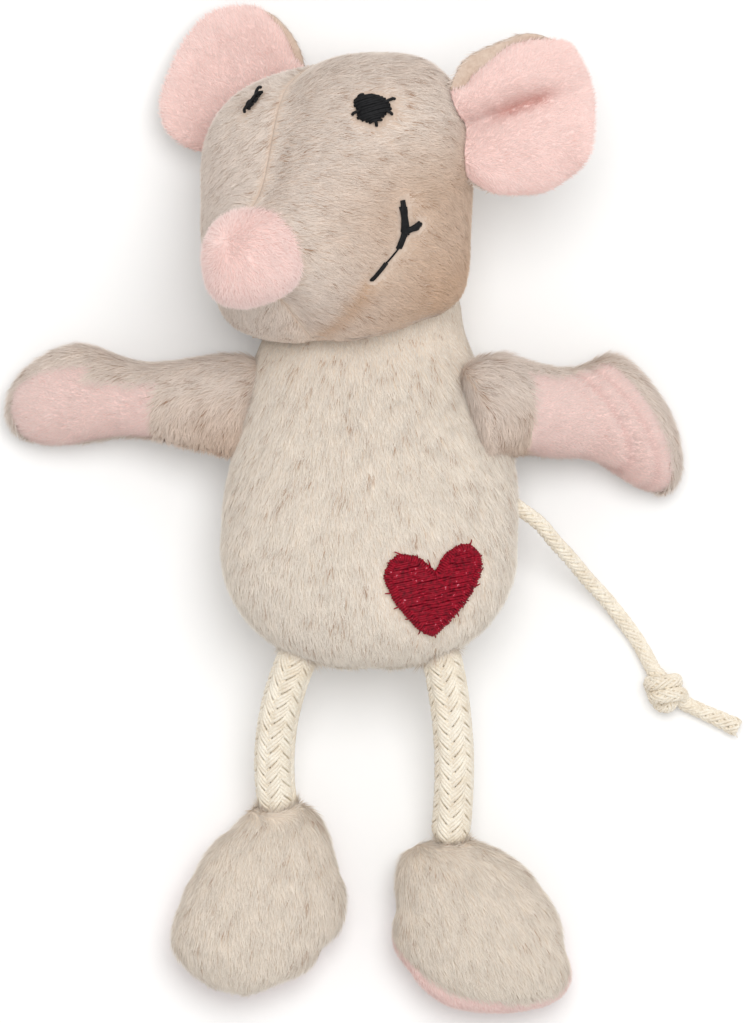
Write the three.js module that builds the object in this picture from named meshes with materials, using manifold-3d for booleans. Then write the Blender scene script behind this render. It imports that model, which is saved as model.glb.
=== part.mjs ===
import * as THREE from 'three';
import { mergeVertices } from 'three/addons/utils/BufferGeometryUtils.js';
import Module from 'manifold-3d';

// A plush catnip mouse that lies on its back: belly up (+Z), head towards +Y, floor at z = 0.
// Left and right are the mouse's own, so its left side is towards +X. Sizes are in millimetres.
// The origin is on the flat patch that the body's back presses on the floor.

// Cloth, thread and clearances
const CLOTH = 1.5;
const GAP = 0.3;
const FLOOR_FLAT = 0.5;
const THREAD = 0.6;
const EMBROIDERY_HEIGHT = 0.8;

// Body bag, a pear that flattens towards the neck
const BELLY_HALF_WIDTH = 21.2;
const BELLY_HALF_DEPTH = 14.6;
const BELLY_Y = -5.9;
const BELLY_TO_BOTTOM = 18.2;
const BOTTOM_FULLNESS = 2.4;
const NECK_Y = 24;
const NECK_RADIUS = 15.6;
const NECK_HALF_DEPTH = 11;
const NECK_THREAD_RISE = 12.7;

// Catnip pouch between two wads of fibre
const POUCH_HALF_WIDTH = 9;
const POUCH_HALF_LENGTH = 11;
const POUCH_HALF_DEPTH = 4;
const POUCH_CLOTH = 0.6;

// Heart on the belly
const HEART_X = 9.6;
const HEART_Y = -13.9;
const HEART_WIDTH = 14.6;
const HEART_HEIGHT = 14;
const HEART_TURN = 4;

// Head, turned to its right and bowed
const HEAD_SHIFT_X = -6.1;
const HEAD_RISE_Y = 19.8;
const HEAD_HALF_WIDTH = 20.2;
const HEAD_HALF_HEIGHT = 21.2;
const HEAD_BACK = 19.6;
const HEAD_FULLNESS = 2.5;
const BROW_FULLNESS = 1.15;
const JAW_FULLNESS = 2.6;
const JAW_SQUARENESS = 3.8;
const SNOUT_LENGTH = 21;
const NOSE_RADIUS = 7;
const NOSE_LENGTH = 8;
const HEAD_YAW = 31;
const HEAD_PITCH = 21;
const HEAD_ROLL = 3;

// Face embroidery, aimed from the middle of the head in the mouse's lying frame
const LEFT_EYE_AIM = new THREE.Vector3(0.28, 0.7, 0.66);
const RIGHT_EYE_AIM = new THREE.Vector3(-0.57, 0.74, 0.36);
const EYE_HALF_WIDTH = 2.5;
const EYE_HALF_HEIGHT = 2.2;
const MOUTH_AIM = new THREE.Vector3(0.6, -0.23, 0.77);
const MOUTH_STROKE_HALF_WIDTH = 0.6;
const MOUTH_UP = 4.2;
const MOUTH_UP_HEADING = 82;
const MOUTH_SIDE = 3;
const MOUTH_SIDE_HEADING = 4;
const MOUTH_CHIN = 8;
const MOUTH_CHIN_HEADING = -133;

// Ears: two layers of plush cut as discs and sewn on along a straight base
const EAR_HALF_LENGTH = 11;
const EAR_HALF_WIDTH = 10.4;
const EAR_BASE_CUT = 1;
const EAR_FLARE = 0.3;
const EAR_SWING_GAP = 0.8;
const LEFT_EAR_HEADING = 26;
const LEFT_EAR_DROP = -6;
const LEFT_EAR_CUP = 7;
const RIGHT_EAR_HEADING = 127.5;
const RIGHT_EAR_DROP = 50;
const RIGHT_EAR_CUP = 2;

// Arms, sewn on along the side seam
const ARM_SEAM_Y = 13.6;
const ARM_ROOT_RADIUS = 2.6;
const ARM_ROOT_HALF_WIDTH = 7.4;
const ARM_BEND_RUN = 3;
const WRIST_HALF_DEPTH = 5;
const PAW_HALF_DEPTH = 5.6;
const RIGHT_ARM_LENGTH = 33.4;
const RIGHT_ARM_BEND = 12.5;
const RIGHT_ARM_ROLL = 24;
const RIGHT_WRIST_AT = 14;
const RIGHT_WRIST_HALF_WIDTH = 5.7;
const RIGHT_PAW_AT = 25.4;
const RIGHT_PAW_HALF_WIDTH = 7.1;
const RIGHT_PAW_START = 11;
const LEFT_ARM_LENGTH = 25.2;
const LEFT_ARM_BEND = -26.5;
const LEFT_ARM_ROLL = -8;
const LEFT_WRIST_AT = 10.5;
const LEFT_WRIST_HALF_WIDTH = 6.6;
const LEFT_PAW_AT = 19;
const LEFT_PAW_HALF_WIDTH = 9.2;
const LEFT_PAW_START = 6;

// Rope legs
const ROPE_RADIUS = 2.8;
const HIP_X = 10.9;
const HIP_STANDOFF = 1.5;
const SOCKET_GAP = 0.7;
const RIGHT_LEG_LENGTH = 22.0;
const RIGHT_LEG_HEADING = -98;
const RIGHT_LEG_BOW = -1.4;
const LEFT_LEG_LENGTH = 26;
const LEFT_LEG_HEADING = -87;
const LEFT_LEG_BOW = 1;

// Feet: egg shapes, broad at the toe
const FOOT_HALF_LENGTH = 13.8;
const FOOT_HALF_WIDTH = 12.2;
const FOOT_HALF_DEPTH = 7.2;
const FOOT_TAPER = 0.2;
const FOOT_FULLNESS = 2.4;
const ANKLE_HEIGHT = 8;
const ANKLE_STANDOFF = 1.2;
const ANKLE_OFF_HEEL = 12;
const RIGHT_TOE_HEADING = -110;
const RIGHT_SOLE_TILT = 5;
const LEFT_TOE_HEADING = -63;
const LEFT_SOLE_TILT = 17;
const SOLE_SEAM_Z = -1.6;

// Tail cord: it leaves the left side seam, sinks to the floor and ends in an overhand knot
const CORD_RADIUS = 1.15;
const TAIL_SEAM_Y = -0.7;
const TAIL_STANDOFF = 0.8;
const TAIL_ROUTE = [
  [25.2, -3.4, 12.2],
  [27.6, -6.2, 10.2],
  [30.1, -8.9, 7.6],
  [32.6, -11.9, 4.9],
  [35.3, -14.8, 2.8],
  [37.7, -17.8, 1.6],
  [39.9, -20.8, 1.3],
  [41.5, -23.6, 1.4],
  [42.5, -25.6, 1.6],
];
const TIP_ROUTE = [
  [46.9, -30.2, 1.5],
  [49.4, -31.4, 1.35],
  [52.1, -32.6, 1.3],
  [55, -34, 1.3],
];
const KNOT_X = 44.1;
const KNOT_Y = -28.9;
const KNOT_TURN = -58;
const KNOT_WRAP_TILT = 24;
const KNOT_WRAP_RADIUS = 1.75;

const CREAM = 0xd9cdb8;
const TAUPE = 0xb4a698;
const PINK = 0xe3b9a8;
const COTTON = 0xe2d5bb;
const BURGUNDY = 0x6e1524;
const BLACK = 0x16130f;
const FIBRE = 0xf1eee6;
const MUSLIN = 0xe6dcc4;
const HERB = 0x77804c;
const PILE_ROUGHNESS = 0.9;
const SATIN_ROUGHNESS = 0.5;

const wasm = await Module();
wasm.setup();

const FAR = 400;
const degrees = THREE.MathUtils.degToRad;
const UP = new THREE.Vector3(0, 0, 1);

// Solids

function facingOut(geometry) {
  const position = geometry.getAttribute('position');
  const index = geometry.getIndex().array;
  const corners = [new THREE.Vector3(), new THREE.Vector3(), new THREE.Vector3()];
  let volume = 0;
  for (let i = 0; i < index.length; i += 3) {
    corners.forEach((corner, k) => corner.fromBufferAttribute(position, index[i + k]));
    volume += corners[0].dot(corners[1].clone().cross(corners[2]));
  }
  if (volume < 0) {
    for (let i = 0; i < index.length; i += 3) {
      [index[i], index[i + 1]] = [index[i + 1], index[i]];
    }
  }
  return geometry;
}

function solid(geometry) {
  const bare = geometry.clone();
  bare.deleteAttribute('normal');
  bare.deleteAttribute('uv');
  const merged = mergeVertices(bare, 1e-5);
  return new wasm.Manifold(new wasm.Mesh({
    numProp: 3,
    vertProperties: new Float32Array(merged.getAttribute('position').array),
    triVerts: new Uint32Array(merged.getIndex().array),
  }));
}

function geometryOf(piece) {
  const mesh = piece.getMesh();
  const geometry = new THREE.BufferGeometry();
  const points = new Float32Array(mesh.vertProperties);
  geometry.setAttribute('position', new THREE.BufferAttribute(points, 3));
  geometry.setIndex(new THREE.BufferAttribute(new Uint32Array(mesh.triVerts), 1));
  return geometry;
}

// A closed form through rings of points, with a pole at each end.
function loft(first, rings, last) {
  const count = rings[0].length;
  const end = 1 + rings.length * count;
  const index = [];
  for (let k = 0; k < count; k += 1) {
    const next = (k + 1) % count;
    index.push(0, 1 + next, 1 + k);
    for (let r = 0; r < rings.length - 1; r += 1) {
      const low = 1 + r * count;
      const high = low + count;
      index.push(low + k, low + next, high + next, low + k, high + next, high + k);
    }
    index.push(end, end - count + k, end - count + next);
  }
  const geometry = new THREE.BufferGeometry().setFromPoints([first, ...rings.flat(), last]);
  geometry.setIndex(index);
  return facingOut(geometry);
}

// Angles round a ring, half a step off the axes so that no seam plane runs through a row of points.
function ringAngles(sides) {
  return Array.from({ length: sides }, (_, k) => ((k + 0.5) / sides) * 2 * Math.PI);
}

const ease = (t) => 0.5 - 0.5 * Math.cos(Math.PI * t);
const mix = THREE.MathUtils.lerp;
const bulge = (t, fullness) => (1 - Math.abs(t) ** fullness) ** (1 / fullness);

// Half of space beyond a plane through a point, on the side its normal points to.
function halfSpace(point, normal) {
  const box = new THREE.BoxGeometry(FAR, FAR, FAR).translate(0, 0, FAR / 2);
  const turn = new THREE.Quaternion().setFromUnitVectors(UP, normal.clone().normalize());
  return solid(box.applyQuaternion(turn).translate(point.x, point.y, point.z));
}

function ball(centre, radius, sides) {
  const form = new THREE.SphereGeometry(radius, sides, Math.round(sides * 0.6));
  return solid(form.translate(centre.x, centre.y, centre.z));
}

// The two sides of a seam plane, each drawn back by half a gap.
function seamSides(point, normal) {
  const shift = normal.clone().normalize().multiplyScalar(GAP / 2);
  return {
    front: halfSpace(point.clone().add(shift), normal),
    back: halfSpace(point.clone().sub(shift), normal.clone().negate()),
  };
}

const aboveFloor = halfSpace(new THREE.Vector3(0, 0, 0), UP);

// Scene graph

const mouse = new THREE.Group();

function jointGroup(parent, worldPoint) {
  const group = new THREE.Group();
  parent.updateWorldMatrix(true, false);
  group.position.copy(parent.worldToLocal(worldPoint.clone()));
  parent.add(group);
  group.updateWorldMatrix(true, false);
  return group;
}

// Adds a piece made in the lying frame to the group that carries it.
function add(group, name, piece, colour, roughness = PILE_ROUGHNESS) {
  group.updateWorldMatrix(true, false);
  const geometry = piece.isBufferGeometry ? piece : geometryOf(piece);
  geometry.applyMatrix4(group.matrixWorld.clone().invert());
  const material = new THREE.MeshStandardMaterial({ color: colour, roughness, metalness: 0 });
  const mesh = new THREE.Mesh(geometry, material);
  mesh.name = name;
  group.add(mesh);
}

// Body

const bellyZ = BELLY_HALF_DEPTH - FLOOR_FLAT;
const neckZ = NECK_HALF_DEPTH - FLOOR_FLAT;
const seamSlope = (neckZ - bellyZ) / (NECK_Y - BELLY_Y);
const seamZ = (y) => bellyZ + seamSlope * (y - BELLY_Y);
const neck = new THREE.Vector3(0, NECK_Y, neckZ);

function bodySize(y) {
  if (y >= BELLY_Y) {
    return mix(BELLY_HALF_WIDTH, NECK_RADIUS, ease((y - BELLY_Y) / (NECK_Y - BELLY_Y)));
  }
  return BELLY_HALF_WIDTH * bulge((BELLY_Y - y) / BELLY_TO_BOTTOM, BOTTOM_FULLNESS);
}

function bodyForm(inset) {
  const sides = 20;
  const rings = [];
  const ring = (y, halfWidth, halfDepth) => rings.push(ringAngles(sides).map((angle) => (
    new THREE.Vector3(
      halfWidth * Math.cos(angle), y, seamZ(Math.min(y, NECK_Y)) + halfDepth * Math.sin(angle)))));
  const bottomSteps = 5;
  for (let step = 1; step <= bottomSteps; step += 1) {
    const angle = (step / bottomSteps) * (Math.PI / 2);
    const share = Math.sin(angle) ** (2 / BOTTOM_FULLNESS);
    const drop = Math.max(0, Math.cos(angle)) ** (2 / BOTTOM_FULLNESS);
    const y = BELLY_Y - (BELLY_TO_BOTTOM - inset) * drop;
    ring(y, (BELLY_HALF_WIDTH - inset) * share, (BELLY_HALF_DEPTH - inset) * share);
  }
  const sideSteps = 3;
  for (let step = 1; step <= sideSteps; step += 1) {
    const y = mix(BELLY_Y, NECK_Y, step / sideSteps);
    const depth = mix(BELLY_HALF_DEPTH, NECK_HALF_DEPTH, step / sideSteps);
    ring(y, bodySize(y) - inset, depth - inset);
  }
  const domeSteps = 4;
  const dome = NECK_RADIUS - inset;
  for (let step = 1; step < domeSteps; step += 1) {
    const angle = (step / domeSteps) * (Math.PI / 2);
    ring(NECK_Y + dome * Math.sin(angle), dome * Math.cos(angle),
      (NECK_HALF_DEPTH - inset) * Math.cos(angle));
  }
  const bottomY = BELLY_Y - BELLY_TO_BOTTOM + inset;
  const bottom = new THREE.Vector3(0, bottomY, seamZ(bottomY));
  const top = new THREE.Vector3(0, NECK_Y + dome, neckZ);
  return loft(bottom, rings, top);
}

// Where each limb leaves the body: hips on the bottom seam, tail on the left side seam.
const hipDrop = BELLY_TO_BOTTOM * bulge(HIP_X / BELLY_HALF_WIDTH, BOTTOM_FULLNESS);
const hipY = BELLY_Y - hipDrop - HIP_STANDOFF;
const rightHip = new THREE.Vector3(-HIP_X, hipY, seamZ(hipY));
const leftHip = new THREE.Vector3(HIP_X, hipY, seamZ(hipY));
const tailRoot = new THREE.Vector3(
  bodySize(TAIL_SEAM_Y) + TAIL_STANDOFF, TAIL_SEAM_Y, seamZ(TAIL_SEAM_Y));
const limbSockets = ball(rightHip, ROPE_RADIUS + SOCKET_GAP, 12)
  .add(ball(leftHip, ROPE_RADIUS + SOCKET_GAP, 12))
  .add(ball(tailRoot, CORD_RADIUS + SOCKET_GAP, 8));

function pouchForm(inset) {
  const form = new THREE.SphereGeometry(1, 12, 6).rotateX(Math.PI / 2).rotateZ(Math.PI / 12);
  form.scale(POUCH_HALF_WIDTH - inset, POUCH_HALF_LENGTH - inset, POUCH_HALF_DEPTH - inset);
  return solid(form.rotateX(Math.atan(seamSlope)).translate(0, BELLY_Y, bellyZ));
}

const sideSeam = seamSides(neck, new THREE.Vector3(0, -seamSlope, 1));
const bodyOuter = bodyForm(0);
const bodySkin = solid(bodyOuter).subtract(solid(bodyForm(CLOTH))).subtract(limbSockets);
const bodyFill = solid(bodyForm(CLOTH + GAP)).subtract(limbSockets).subtract(pouchForm(-GAP));
const pouchSkin = pouchForm(0).subtract(pouchForm(POUCH_CLOTH));
add(mouse, 'body_front_panel', bodySkin.intersect(sideSeam.front), CREAM);
add(mouse, 'body_back_panel', bodySkin.intersect(sideSeam.back).intersect(aboveFloor), CREAM);
add(mouse, 'body_stuffing_front', bodyFill.intersect(sideSeam.front), FIBRE);
add(mouse, 'body_stuffing_back', bodyFill.intersect(sideSeam.back), FIBRE);
add(mouse, 'catnip_pouch_front', pouchSkin.intersect(sideSeam.front), MUSLIN);
add(mouse, 'catnip_pouch_back', pouchSkin.intersect(sideSeam.back), MUSLIN);
add(mouse, 'catnip_herb', pouchForm(POUCH_CLOTH + GAP), HERB);

// Embroidery

// A flat outline laid on a form: each point drops along the normal until it meets the surface.
function embroidery(form, anchor, normal, across, outline, shares) {
  const along = normal.clone().cross(across).normalize();
  const level = along.clone().cross(normal).normalize();
  const surface = new THREE.Mesh(form);
  const ray = new THREE.Raycaster();
  const reach = 12;
  const touch = (x, y) => {
    const start = anchor.clone().addScaledVector(level, x).addScaledVector(along, y);
    ray.set(start.addScaledVector(normal, reach), normal.clone().negate());
    return ray.intersectObject(surface)[0].point;
  };
  const middle = outline.reduce((sum, p) => sum.add(p), new THREE.Vector2());
  middle.divideScalar(outline.length);
  const hits = shares.map((share) => outline.map((p) => (
    touch(mix(middle.x, p.x, share), mix(middle.y, p.y, share)))));
  const lift = (point, height) => point.clone().addScaledVector(normal, height);
  const centre = touch(middle.x, middle.y);
  const low = hits.map((ring) => ring.map((point) => lift(point, GAP)));
  const high = hits.map((ring) => ring.map((point) => lift(point, GAP + EMBROIDERY_HEIGHT)));
  const rings = [...low, ...high.reverse()];
  return loft(lift(centre, GAP), rings, lift(centre, GAP + EMBROIDERY_HEIGHT));
}

// The common heart curve: a cubed sine across and a sum of four cosines up.
function heartOutline() {
  const points = [];
  const count = 28;
  const turn = degrees(HEART_TURN);
  for (let k = 0; k < count; k += 1) {
    const t = (k / count) * 2 * Math.PI;
    const x = Math.sin(t) ** 3 * (HEART_WIDTH / 2);
    const wave = 13 * Math.cos(t) - 5 * Math.cos(2 * t) - 2 * Math.cos(3 * t) - Math.cos(4 * t);
    const y = ((wave + 2.5) / 29) * HEART_HEIGHT;
    points.push(new THREE.Vector2(x, y).rotateAround(new THREE.Vector2(), turn));
  }
  return points;
}

const EAST = new THREE.Vector3(1, 0, 0);
const heartSpot = new THREE.Vector3(HEART_X, HEART_Y, bellyZ + BELLY_HALF_DEPTH);
const heart = embroidery(bodyOuter, heartSpot, UP, EAST, heartOutline(), [0.2, 0.4, 0.6, 0.8, 1]);
add(mouse, 'heart_embroidery', heart, BURGUNDY, SATIN_ROUGHNESS);

// Neck and head

const neckGroup = jointGroup(mouse, neck);
const neckGap = THREAD + 2 * GAP;
const threadCentre = NECK_RADIUS + neckGap / 2;
const threadRing = new THREE.TorusGeometry(
  Math.sqrt(threadCentre ** 2 - NECK_THREAD_RISE ** 2), THREAD / 2, 5, 24);
threadRing.rotateX(Math.PI / 2).translate(neck.x, neck.y + NECK_THREAD_RISE, neck.z);
add(neckGroup, 'neck_thread', solid(threadRing), CREAM);

// Head form in its own frame: +Z to the nose, +Y to the crown.
function headForm(inset) {
  const sides = 20;
  const rings = [];
  const squared = (value, fullness) => Math.sign(value) * Math.abs(value) ** (2 / fullness);
  const ring = (z, halfWidth, brow, jaw, jawSquareness) => {
    rings.push(ringAngles(sides).map((angle) => {
      const above = angle < Math.PI;
      const fullness = above ? HEAD_FULLNESS : jawSquareness;
      return new THREE.Vector3(halfWidth * squared(Math.cos(angle), fullness),
        (above ? brow : jaw) * squared(Math.sin(angle), fullness), z);
    }));
  };
  const backSteps = 4;
  for (let step = 1; step <= backSteps; step += 1) {
    const angle = (step / backSteps) * (Math.PI / 2);
    const share = Math.sin(angle);
    const halfHeight = (HEAD_HALF_HEIGHT - inset) * share;
    ring(-(HEAD_BACK - inset) * Math.cos(angle),
      (HEAD_HALF_WIDTH - inset) * share, halfHeight, halfHeight, JAW_SQUARENESS);
  }
  const snoutSteps = 5;
  for (let step = 1; step <= snoutSteps; step += 1) {
    const share = step / snoutSteps;
    const narrow = (size, fullness) => mix(size, NOSE_RADIUS, ease(share ** fullness)) - inset;
    ring(SNOUT_LENGTH * share, narrow(HEAD_HALF_WIDTH, BROW_FULLNESS),
      narrow(HEAD_HALF_HEIGHT, BROW_FULLNESS), narrow(HEAD_HALF_HEIGHT, JAW_FULLNESS),
      mix(JAW_SQUARENESS, HEAD_FULLNESS, ease(share)));
  }
  const noseSteps = 3;
  for (let step = 1; step < noseSteps; step += 1) {
    const angle = (step / noseSteps) * (Math.PI / 2);
    const radius = (NOSE_RADIUS - inset) * Math.cos(angle);
    ring(SNOUT_LENGTH + (NOSE_LENGTH - inset) * Math.sin(angle), radius, radius, radius, HEAD_FULLNESS);
  }
  return loft(new THREE.Vector3(0, 0, inset - HEAD_BACK), rings,
    new THREE.Vector3(0, 0, SNOUT_LENGTH + NOSE_LENGTH - inset));
}

const headTurn = new THREE.Euler(degrees(HEAD_PITCH), -degrees(HEAD_YAW), degrees(HEAD_ROLL), 'YXZ');
const headAxes = new THREE.Matrix4().makeRotationFromEuler(headTurn);
const headSide = new THREE.Vector3().setFromMatrixColumn(headAxes, 0);
const headFront = new THREE.Vector3().setFromMatrixColumn(headAxes, 2);
const headBox = new THREE.Box3().setFromBufferAttribute(
  headForm(0).applyMatrix4(headAxes).getAttribute('position'));
const headCentre = new THREE.Vector3(
  neck.x + HEAD_SHIFT_X, neck.y + HEAD_RISE_Y, -headBox.min.z - FLOOR_FLAT);
const headGroup = jointGroup(neckGroup, headCentre);
headGroup.setRotationFromEuler(headTurn);
headGroup.updateWorldMatrix(true, false);

const headInLyingFrame = (inset) => headForm(inset).applyMatrix4(headGroup.matrixWorld);
const headOuter = headInLyingFrame(0);
const neckSocket = ball(neck, NECK_RADIUS + neckGap, 20);
const headSkin = solid(headOuter).subtract(solid(headInLyingFrame(CLOTH)))
  .subtract(neckSocket).intersect(aboveFloor);
const faceSeam = seamSides(headCentre, headSide);
const noseSeam = seamSides(headCentre.clone().addScaledVector(headFront, SNOUT_LENGTH), headFront);
const headCloth = headSkin.intersect(noseSeam.back);
add(headGroup, 'head_left_panel', headCloth.intersect(faceSeam.front), TAUPE);
add(headGroup, 'head_right_panel', headCloth.intersect(faceSeam.back), TAUPE);
add(headGroup, 'nose_cap', headSkin.intersect(noseSeam.front), PINK);
const headFill = solid(headInLyingFrame(CLOTH + GAP)).subtract(neckSocket);
add(headGroup, 'head_stuffing', headFill, FIBRE);

// The spot on the head's surface along an aim from its middle, and the way out of it.
function headSpot(aim) {
  const way = aim.clone().normalize();
  const ray = new THREE.Raycaster(
    headCentre.clone().addScaledVector(way, FAR), way.clone().negate());
  const hit = ray.intersectObject(new THREE.Mesh(headOuter))[0];
  const smoothing = 0.3;
  return { point: hit.point, normal: hit.face.normal.clone().lerp(way, smoothing).normalize() };
}

function eyeOutline() {
  const count = 14;
  return Array.from({ length: count }, (_, k) => {
    const t = (k / count) * 2 * Math.PI;
    return new THREE.Vector2(EYE_HALF_WIDTH * Math.cos(t), EYE_HALF_HEIGHT * Math.sin(t));
  });
}

// A stitch line with round ends.
function strokeOutline(from, to) {
  const heading = Math.atan2(to.y - from.y, to.x - from.x);
  const points = [];
  const edge = (end, angle) => points.push(new THREE.Vector2(
    end.x + MOUTH_STROKE_HALF_WIDTH * Math.cos(angle),
    end.y + MOUTH_STROKE_HALF_WIDTH * Math.sin(angle)));
  for (const [start, end, turn] of [[from, to, -Math.PI / 2], [to, from, Math.PI / 2]]) {
    for (const share of [0.25, 0.5, 0.75]) {
      edge(start.clone().lerp(end, share), heading + turn);
    }
    for (let k = 0; k <= 2; k += 1) {
      edge(end, heading + turn + (k / 2) * Math.PI);
    }
  }
  return points;
}

function mouthThread(aim, side) {
  const { point, normal } = headSpot(aim);
  const corner = new THREE.Vector2(0, 0);
  const end = (length, heading) => new THREE.Vector2(
    side * length * Math.cos(degrees(heading)), length * Math.sin(degrees(heading)));
  const ends = [
    end(MOUTH_UP, MOUTH_UP_HEADING),
    end(MOUTH_SIDE, MOUTH_SIDE_HEADING),
    end(MOUTH_CHIN, MOUTH_CHIN_HEADING),
  ];
  return ends
    .map((tip) => strokeOutline(corner, tip))
    .map((outline) => solid(embroidery(headOuter, point, normal, headSide, outline, [0.5, 1])))
    .reduce((sum, stroke) => sum.add(stroke));
}

for (const [name, aim] of [['left_eye', LEFT_EYE_AIM], ['right_eye', RIGHT_EYE_AIM]]) {
  const { point, normal } = headSpot(aim);
  const eye = embroidery(headOuter, point, normal, headSide, eyeOutline(), [0.5, 1]);
  add(headGroup, name, eye, BLACK, SATIN_ROUGHNESS);
}
const mirroredMouth = MOUTH_AIM.clone().addScaledVector(headSide, -2 * MOUTH_AIM.dot(headSide));
add(headGroup, 'left_mouth', mouthThread(MOUTH_AIM, 1), BLACK, SATIN_ROUGHNESS);
add(headGroup, 'right_mouth', mouthThread(mirroredMouth, -1), BLACK, SATIN_ROUGHNESS);

// Ears

// One layer of an ear in its own frame: +X away from the head, +Z to the ear's front.
function earLayer(cup, low, high) {
  const centreX = EAR_HALF_LENGTH - EAR_BASE_CUT;
  const flare = (x) => 1 - (EAR_FLARE * x) / EAR_HALF_LENGTH;
  const height = (x, y) => cup * (y / EAR_HALF_WIDTH) ** 2 * flare(x);
  const at = (x, y, offset) => {
    const step = 0.01;
    const slopeX = (height(x + step, y) - height(x - step, y)) / (2 * step);
    const slopeY = (height(x, y + step) - height(x, y - step)) / (2 * step);
    const normal = new THREE.Vector3(-slopeX, -slopeY, 1).normalize();
    return new THREE.Vector3(x, y, height(x, y)).addScaledVector(normal, offset);
  };
  const sides = 18;
  const shares = [0.4, 0.75, 1];
  const ringsAt = (offset) => shares.map((share) => ringAngles(sides).map((angle) => at(
    centreX + share * EAR_HALF_LENGTH * Math.cos(angle),
    share * EAR_HALF_WIDTH * Math.sin(angle), offset)));
  const rings = [...ringsAt(low), ...ringsAt(high).reverse()];
  return loft(at(centreX, 0, low), rings, at(centreX, 0, high));
}

function addEar(side, heading, drop, cup) {
  const outward = new THREE.Vector3(
    Math.cos(degrees(heading)) * Math.cos(degrees(drop)),
    Math.sin(degrees(heading)) * Math.cos(degrees(drop)),
    -Math.sin(degrees(drop)));
  const base = headSpot(outward).point.addScaledVector(outward, EAR_SWING_GAP);
  const ear = jointGroup(neckGroup, base);
  ear.rotation.z = degrees(heading);
  ear.updateWorldMatrix(true, false);
  const roomForHead = solid(headInLyingFrame(-EAR_SWING_GAP));
  const layer = (low, high) => solid(earLayer(cup, low, high).applyMatrix4(ear.matrixWorld))
    .subtract(roomForHead).intersect(aboveFloor);
  add(ear, `${side}_ear_front`, layer(GAP / 2, GAP / 2 + CLOTH), PINK);
  add(ear, `${side}_ear_back`, layer(-GAP / 2 - CLOTH, -GAP / 2), TAUPE);
}

addEar('left', LEFT_EAR_HEADING, LEFT_EAR_DROP, LEFT_EAR_CUP);
addEar('right', RIGHT_EAR_HEADING, RIGHT_EAR_DROP, RIGHT_EAR_CUP);

// Arms

// Arm form in its own frame: +X to the paw, +Y along the side seam, +Z to the arm's front.
// Its root is rounded about the seam, so the arm can flap without rubbing on the body.
function armForm(size, inset) {
  const sides = 12;
  const rings = [];
  const slope = Math.tan(degrees(size.bend));
  const middle = (x) => (x > 0 ? (slope * x ** 2) / (x + ARM_BEND_RUN) : 0);
  const ring = (x, halfWidth, halfDepth) => rings.push(ringAngles(sides).map((angle) => (
    new THREE.Vector3(x, middle(x) + halfWidth * Math.cos(angle), halfDepth * Math.sin(angle)))));
  const rootBluntness = 0.35;
  for (const step of [1, 2]) {
    const angle = (step / 3) * (Math.PI / 2);
    ring(-(ARM_ROOT_RADIUS - inset) * Math.cos(angle),
      (ARM_ROOT_HALF_WIDTH - inset) * Math.sin(angle) ** rootBluntness,
      (ARM_ROOT_RADIUS - inset) * Math.sin(angle));
  }
  const stretch = (from, to, start, end) => {
    for (let step = 0; step < 2; step += 1) {
      const share = ease(step / 2);
      ring(mix(from, to, step / 2), mix(start[0], end[0], share) - inset,
        mix(start[1], end[1], share) - inset);
    }
  };
  const root = [ARM_ROOT_HALF_WIDTH, ARM_ROOT_RADIUS];
  const wrist = [size.wristHalfWidth, WRIST_HALF_DEPTH];
  const paw = [size.pawHalfWidth, PAW_HALF_DEPTH];
  stretch(0, size.wristAt, root, wrist);
  stretch(size.wristAt, size.pawAt, wrist, paw);
  const tip = size.length - inset;
  const pawBluntness = 0.8;
  for (let step = 0; step < 3; step += 1) {
    const angle = (step / 3) * (Math.PI / 2);
    const share = Math.cos(angle) ** pawBluntness;
    ring(mix(size.pawAt, tip, Math.sin(angle)), (paw[0] - inset) * share, (paw[1] - inset) * share);
  }
  return loft(new THREE.Vector3(inset - ARM_ROOT_RADIUS, 0, 0), rings,
    new THREE.Vector3(tip, middle(tip), 0));
}

function addArm(side, sign, size) {
  const span = ARM_ROOT_HALF_WIDTH;
  const lean = Math.atan2(bodySize(ARM_SEAM_Y - span) - bodySize(ARM_SEAM_Y + span), 2 * span);
  const standoff = ARM_ROOT_RADIUS + 2 * GAP;
  const seam = new THREE.Vector3(sign * bodySize(ARM_SEAM_Y), ARM_SEAM_Y, seamZ(ARM_SEAM_Y));
  const outward = new THREE.Vector3(sign * Math.cos(lean), Math.sin(lean), 0);
  const arm = jointGroup(mouse, seam.addScaledVector(outward, standoff));
  const droop = Math.asin((arm.position.z - PAW_HALF_DEPTH + FLOOR_FLAT) / size.pawAt);
  arm.rotation.set(0, droop, Math.atan2(outward.y, outward.x), 'ZYX');
  arm.updateWorldMatrix(true, false);
  const form = (inset) => solid(armForm(size, inset).applyMatrix4(arm.matrixWorld));
  const skin = form(0).subtract(form(CLOTH)).intersect(aboveFloor)
    .subtract(solid(bodyForm(-GAP)));
  const turned = (x, y, z) => new THREE.Vector3(x, y, z).transformDirection(arm.matrixWorld);
  const roll = degrees(size.roll);
  const edge = seamSides(arm.position, turned(0, Math.sin(roll), Math.cos(roll)));
  const cuff = seamSides(arm.localToWorld(new THREE.Vector3(size.pawStart, 0, 0)), turned(1, 0, 0));
  add(arm, `${side}_arm_back`, skin.intersect(edge.back), TAUPE);
  add(arm, `${side}_arm_front`, skin.intersect(edge.front).intersect(cuff.back), TAUPE);
  add(arm, `${side}_arm_paw`, skin.intersect(edge.front).intersect(cuff.front), PINK);
  add(arm, `${side}_arm_stuffing`, form(CLOTH + GAP), FIBRE);
}

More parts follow.
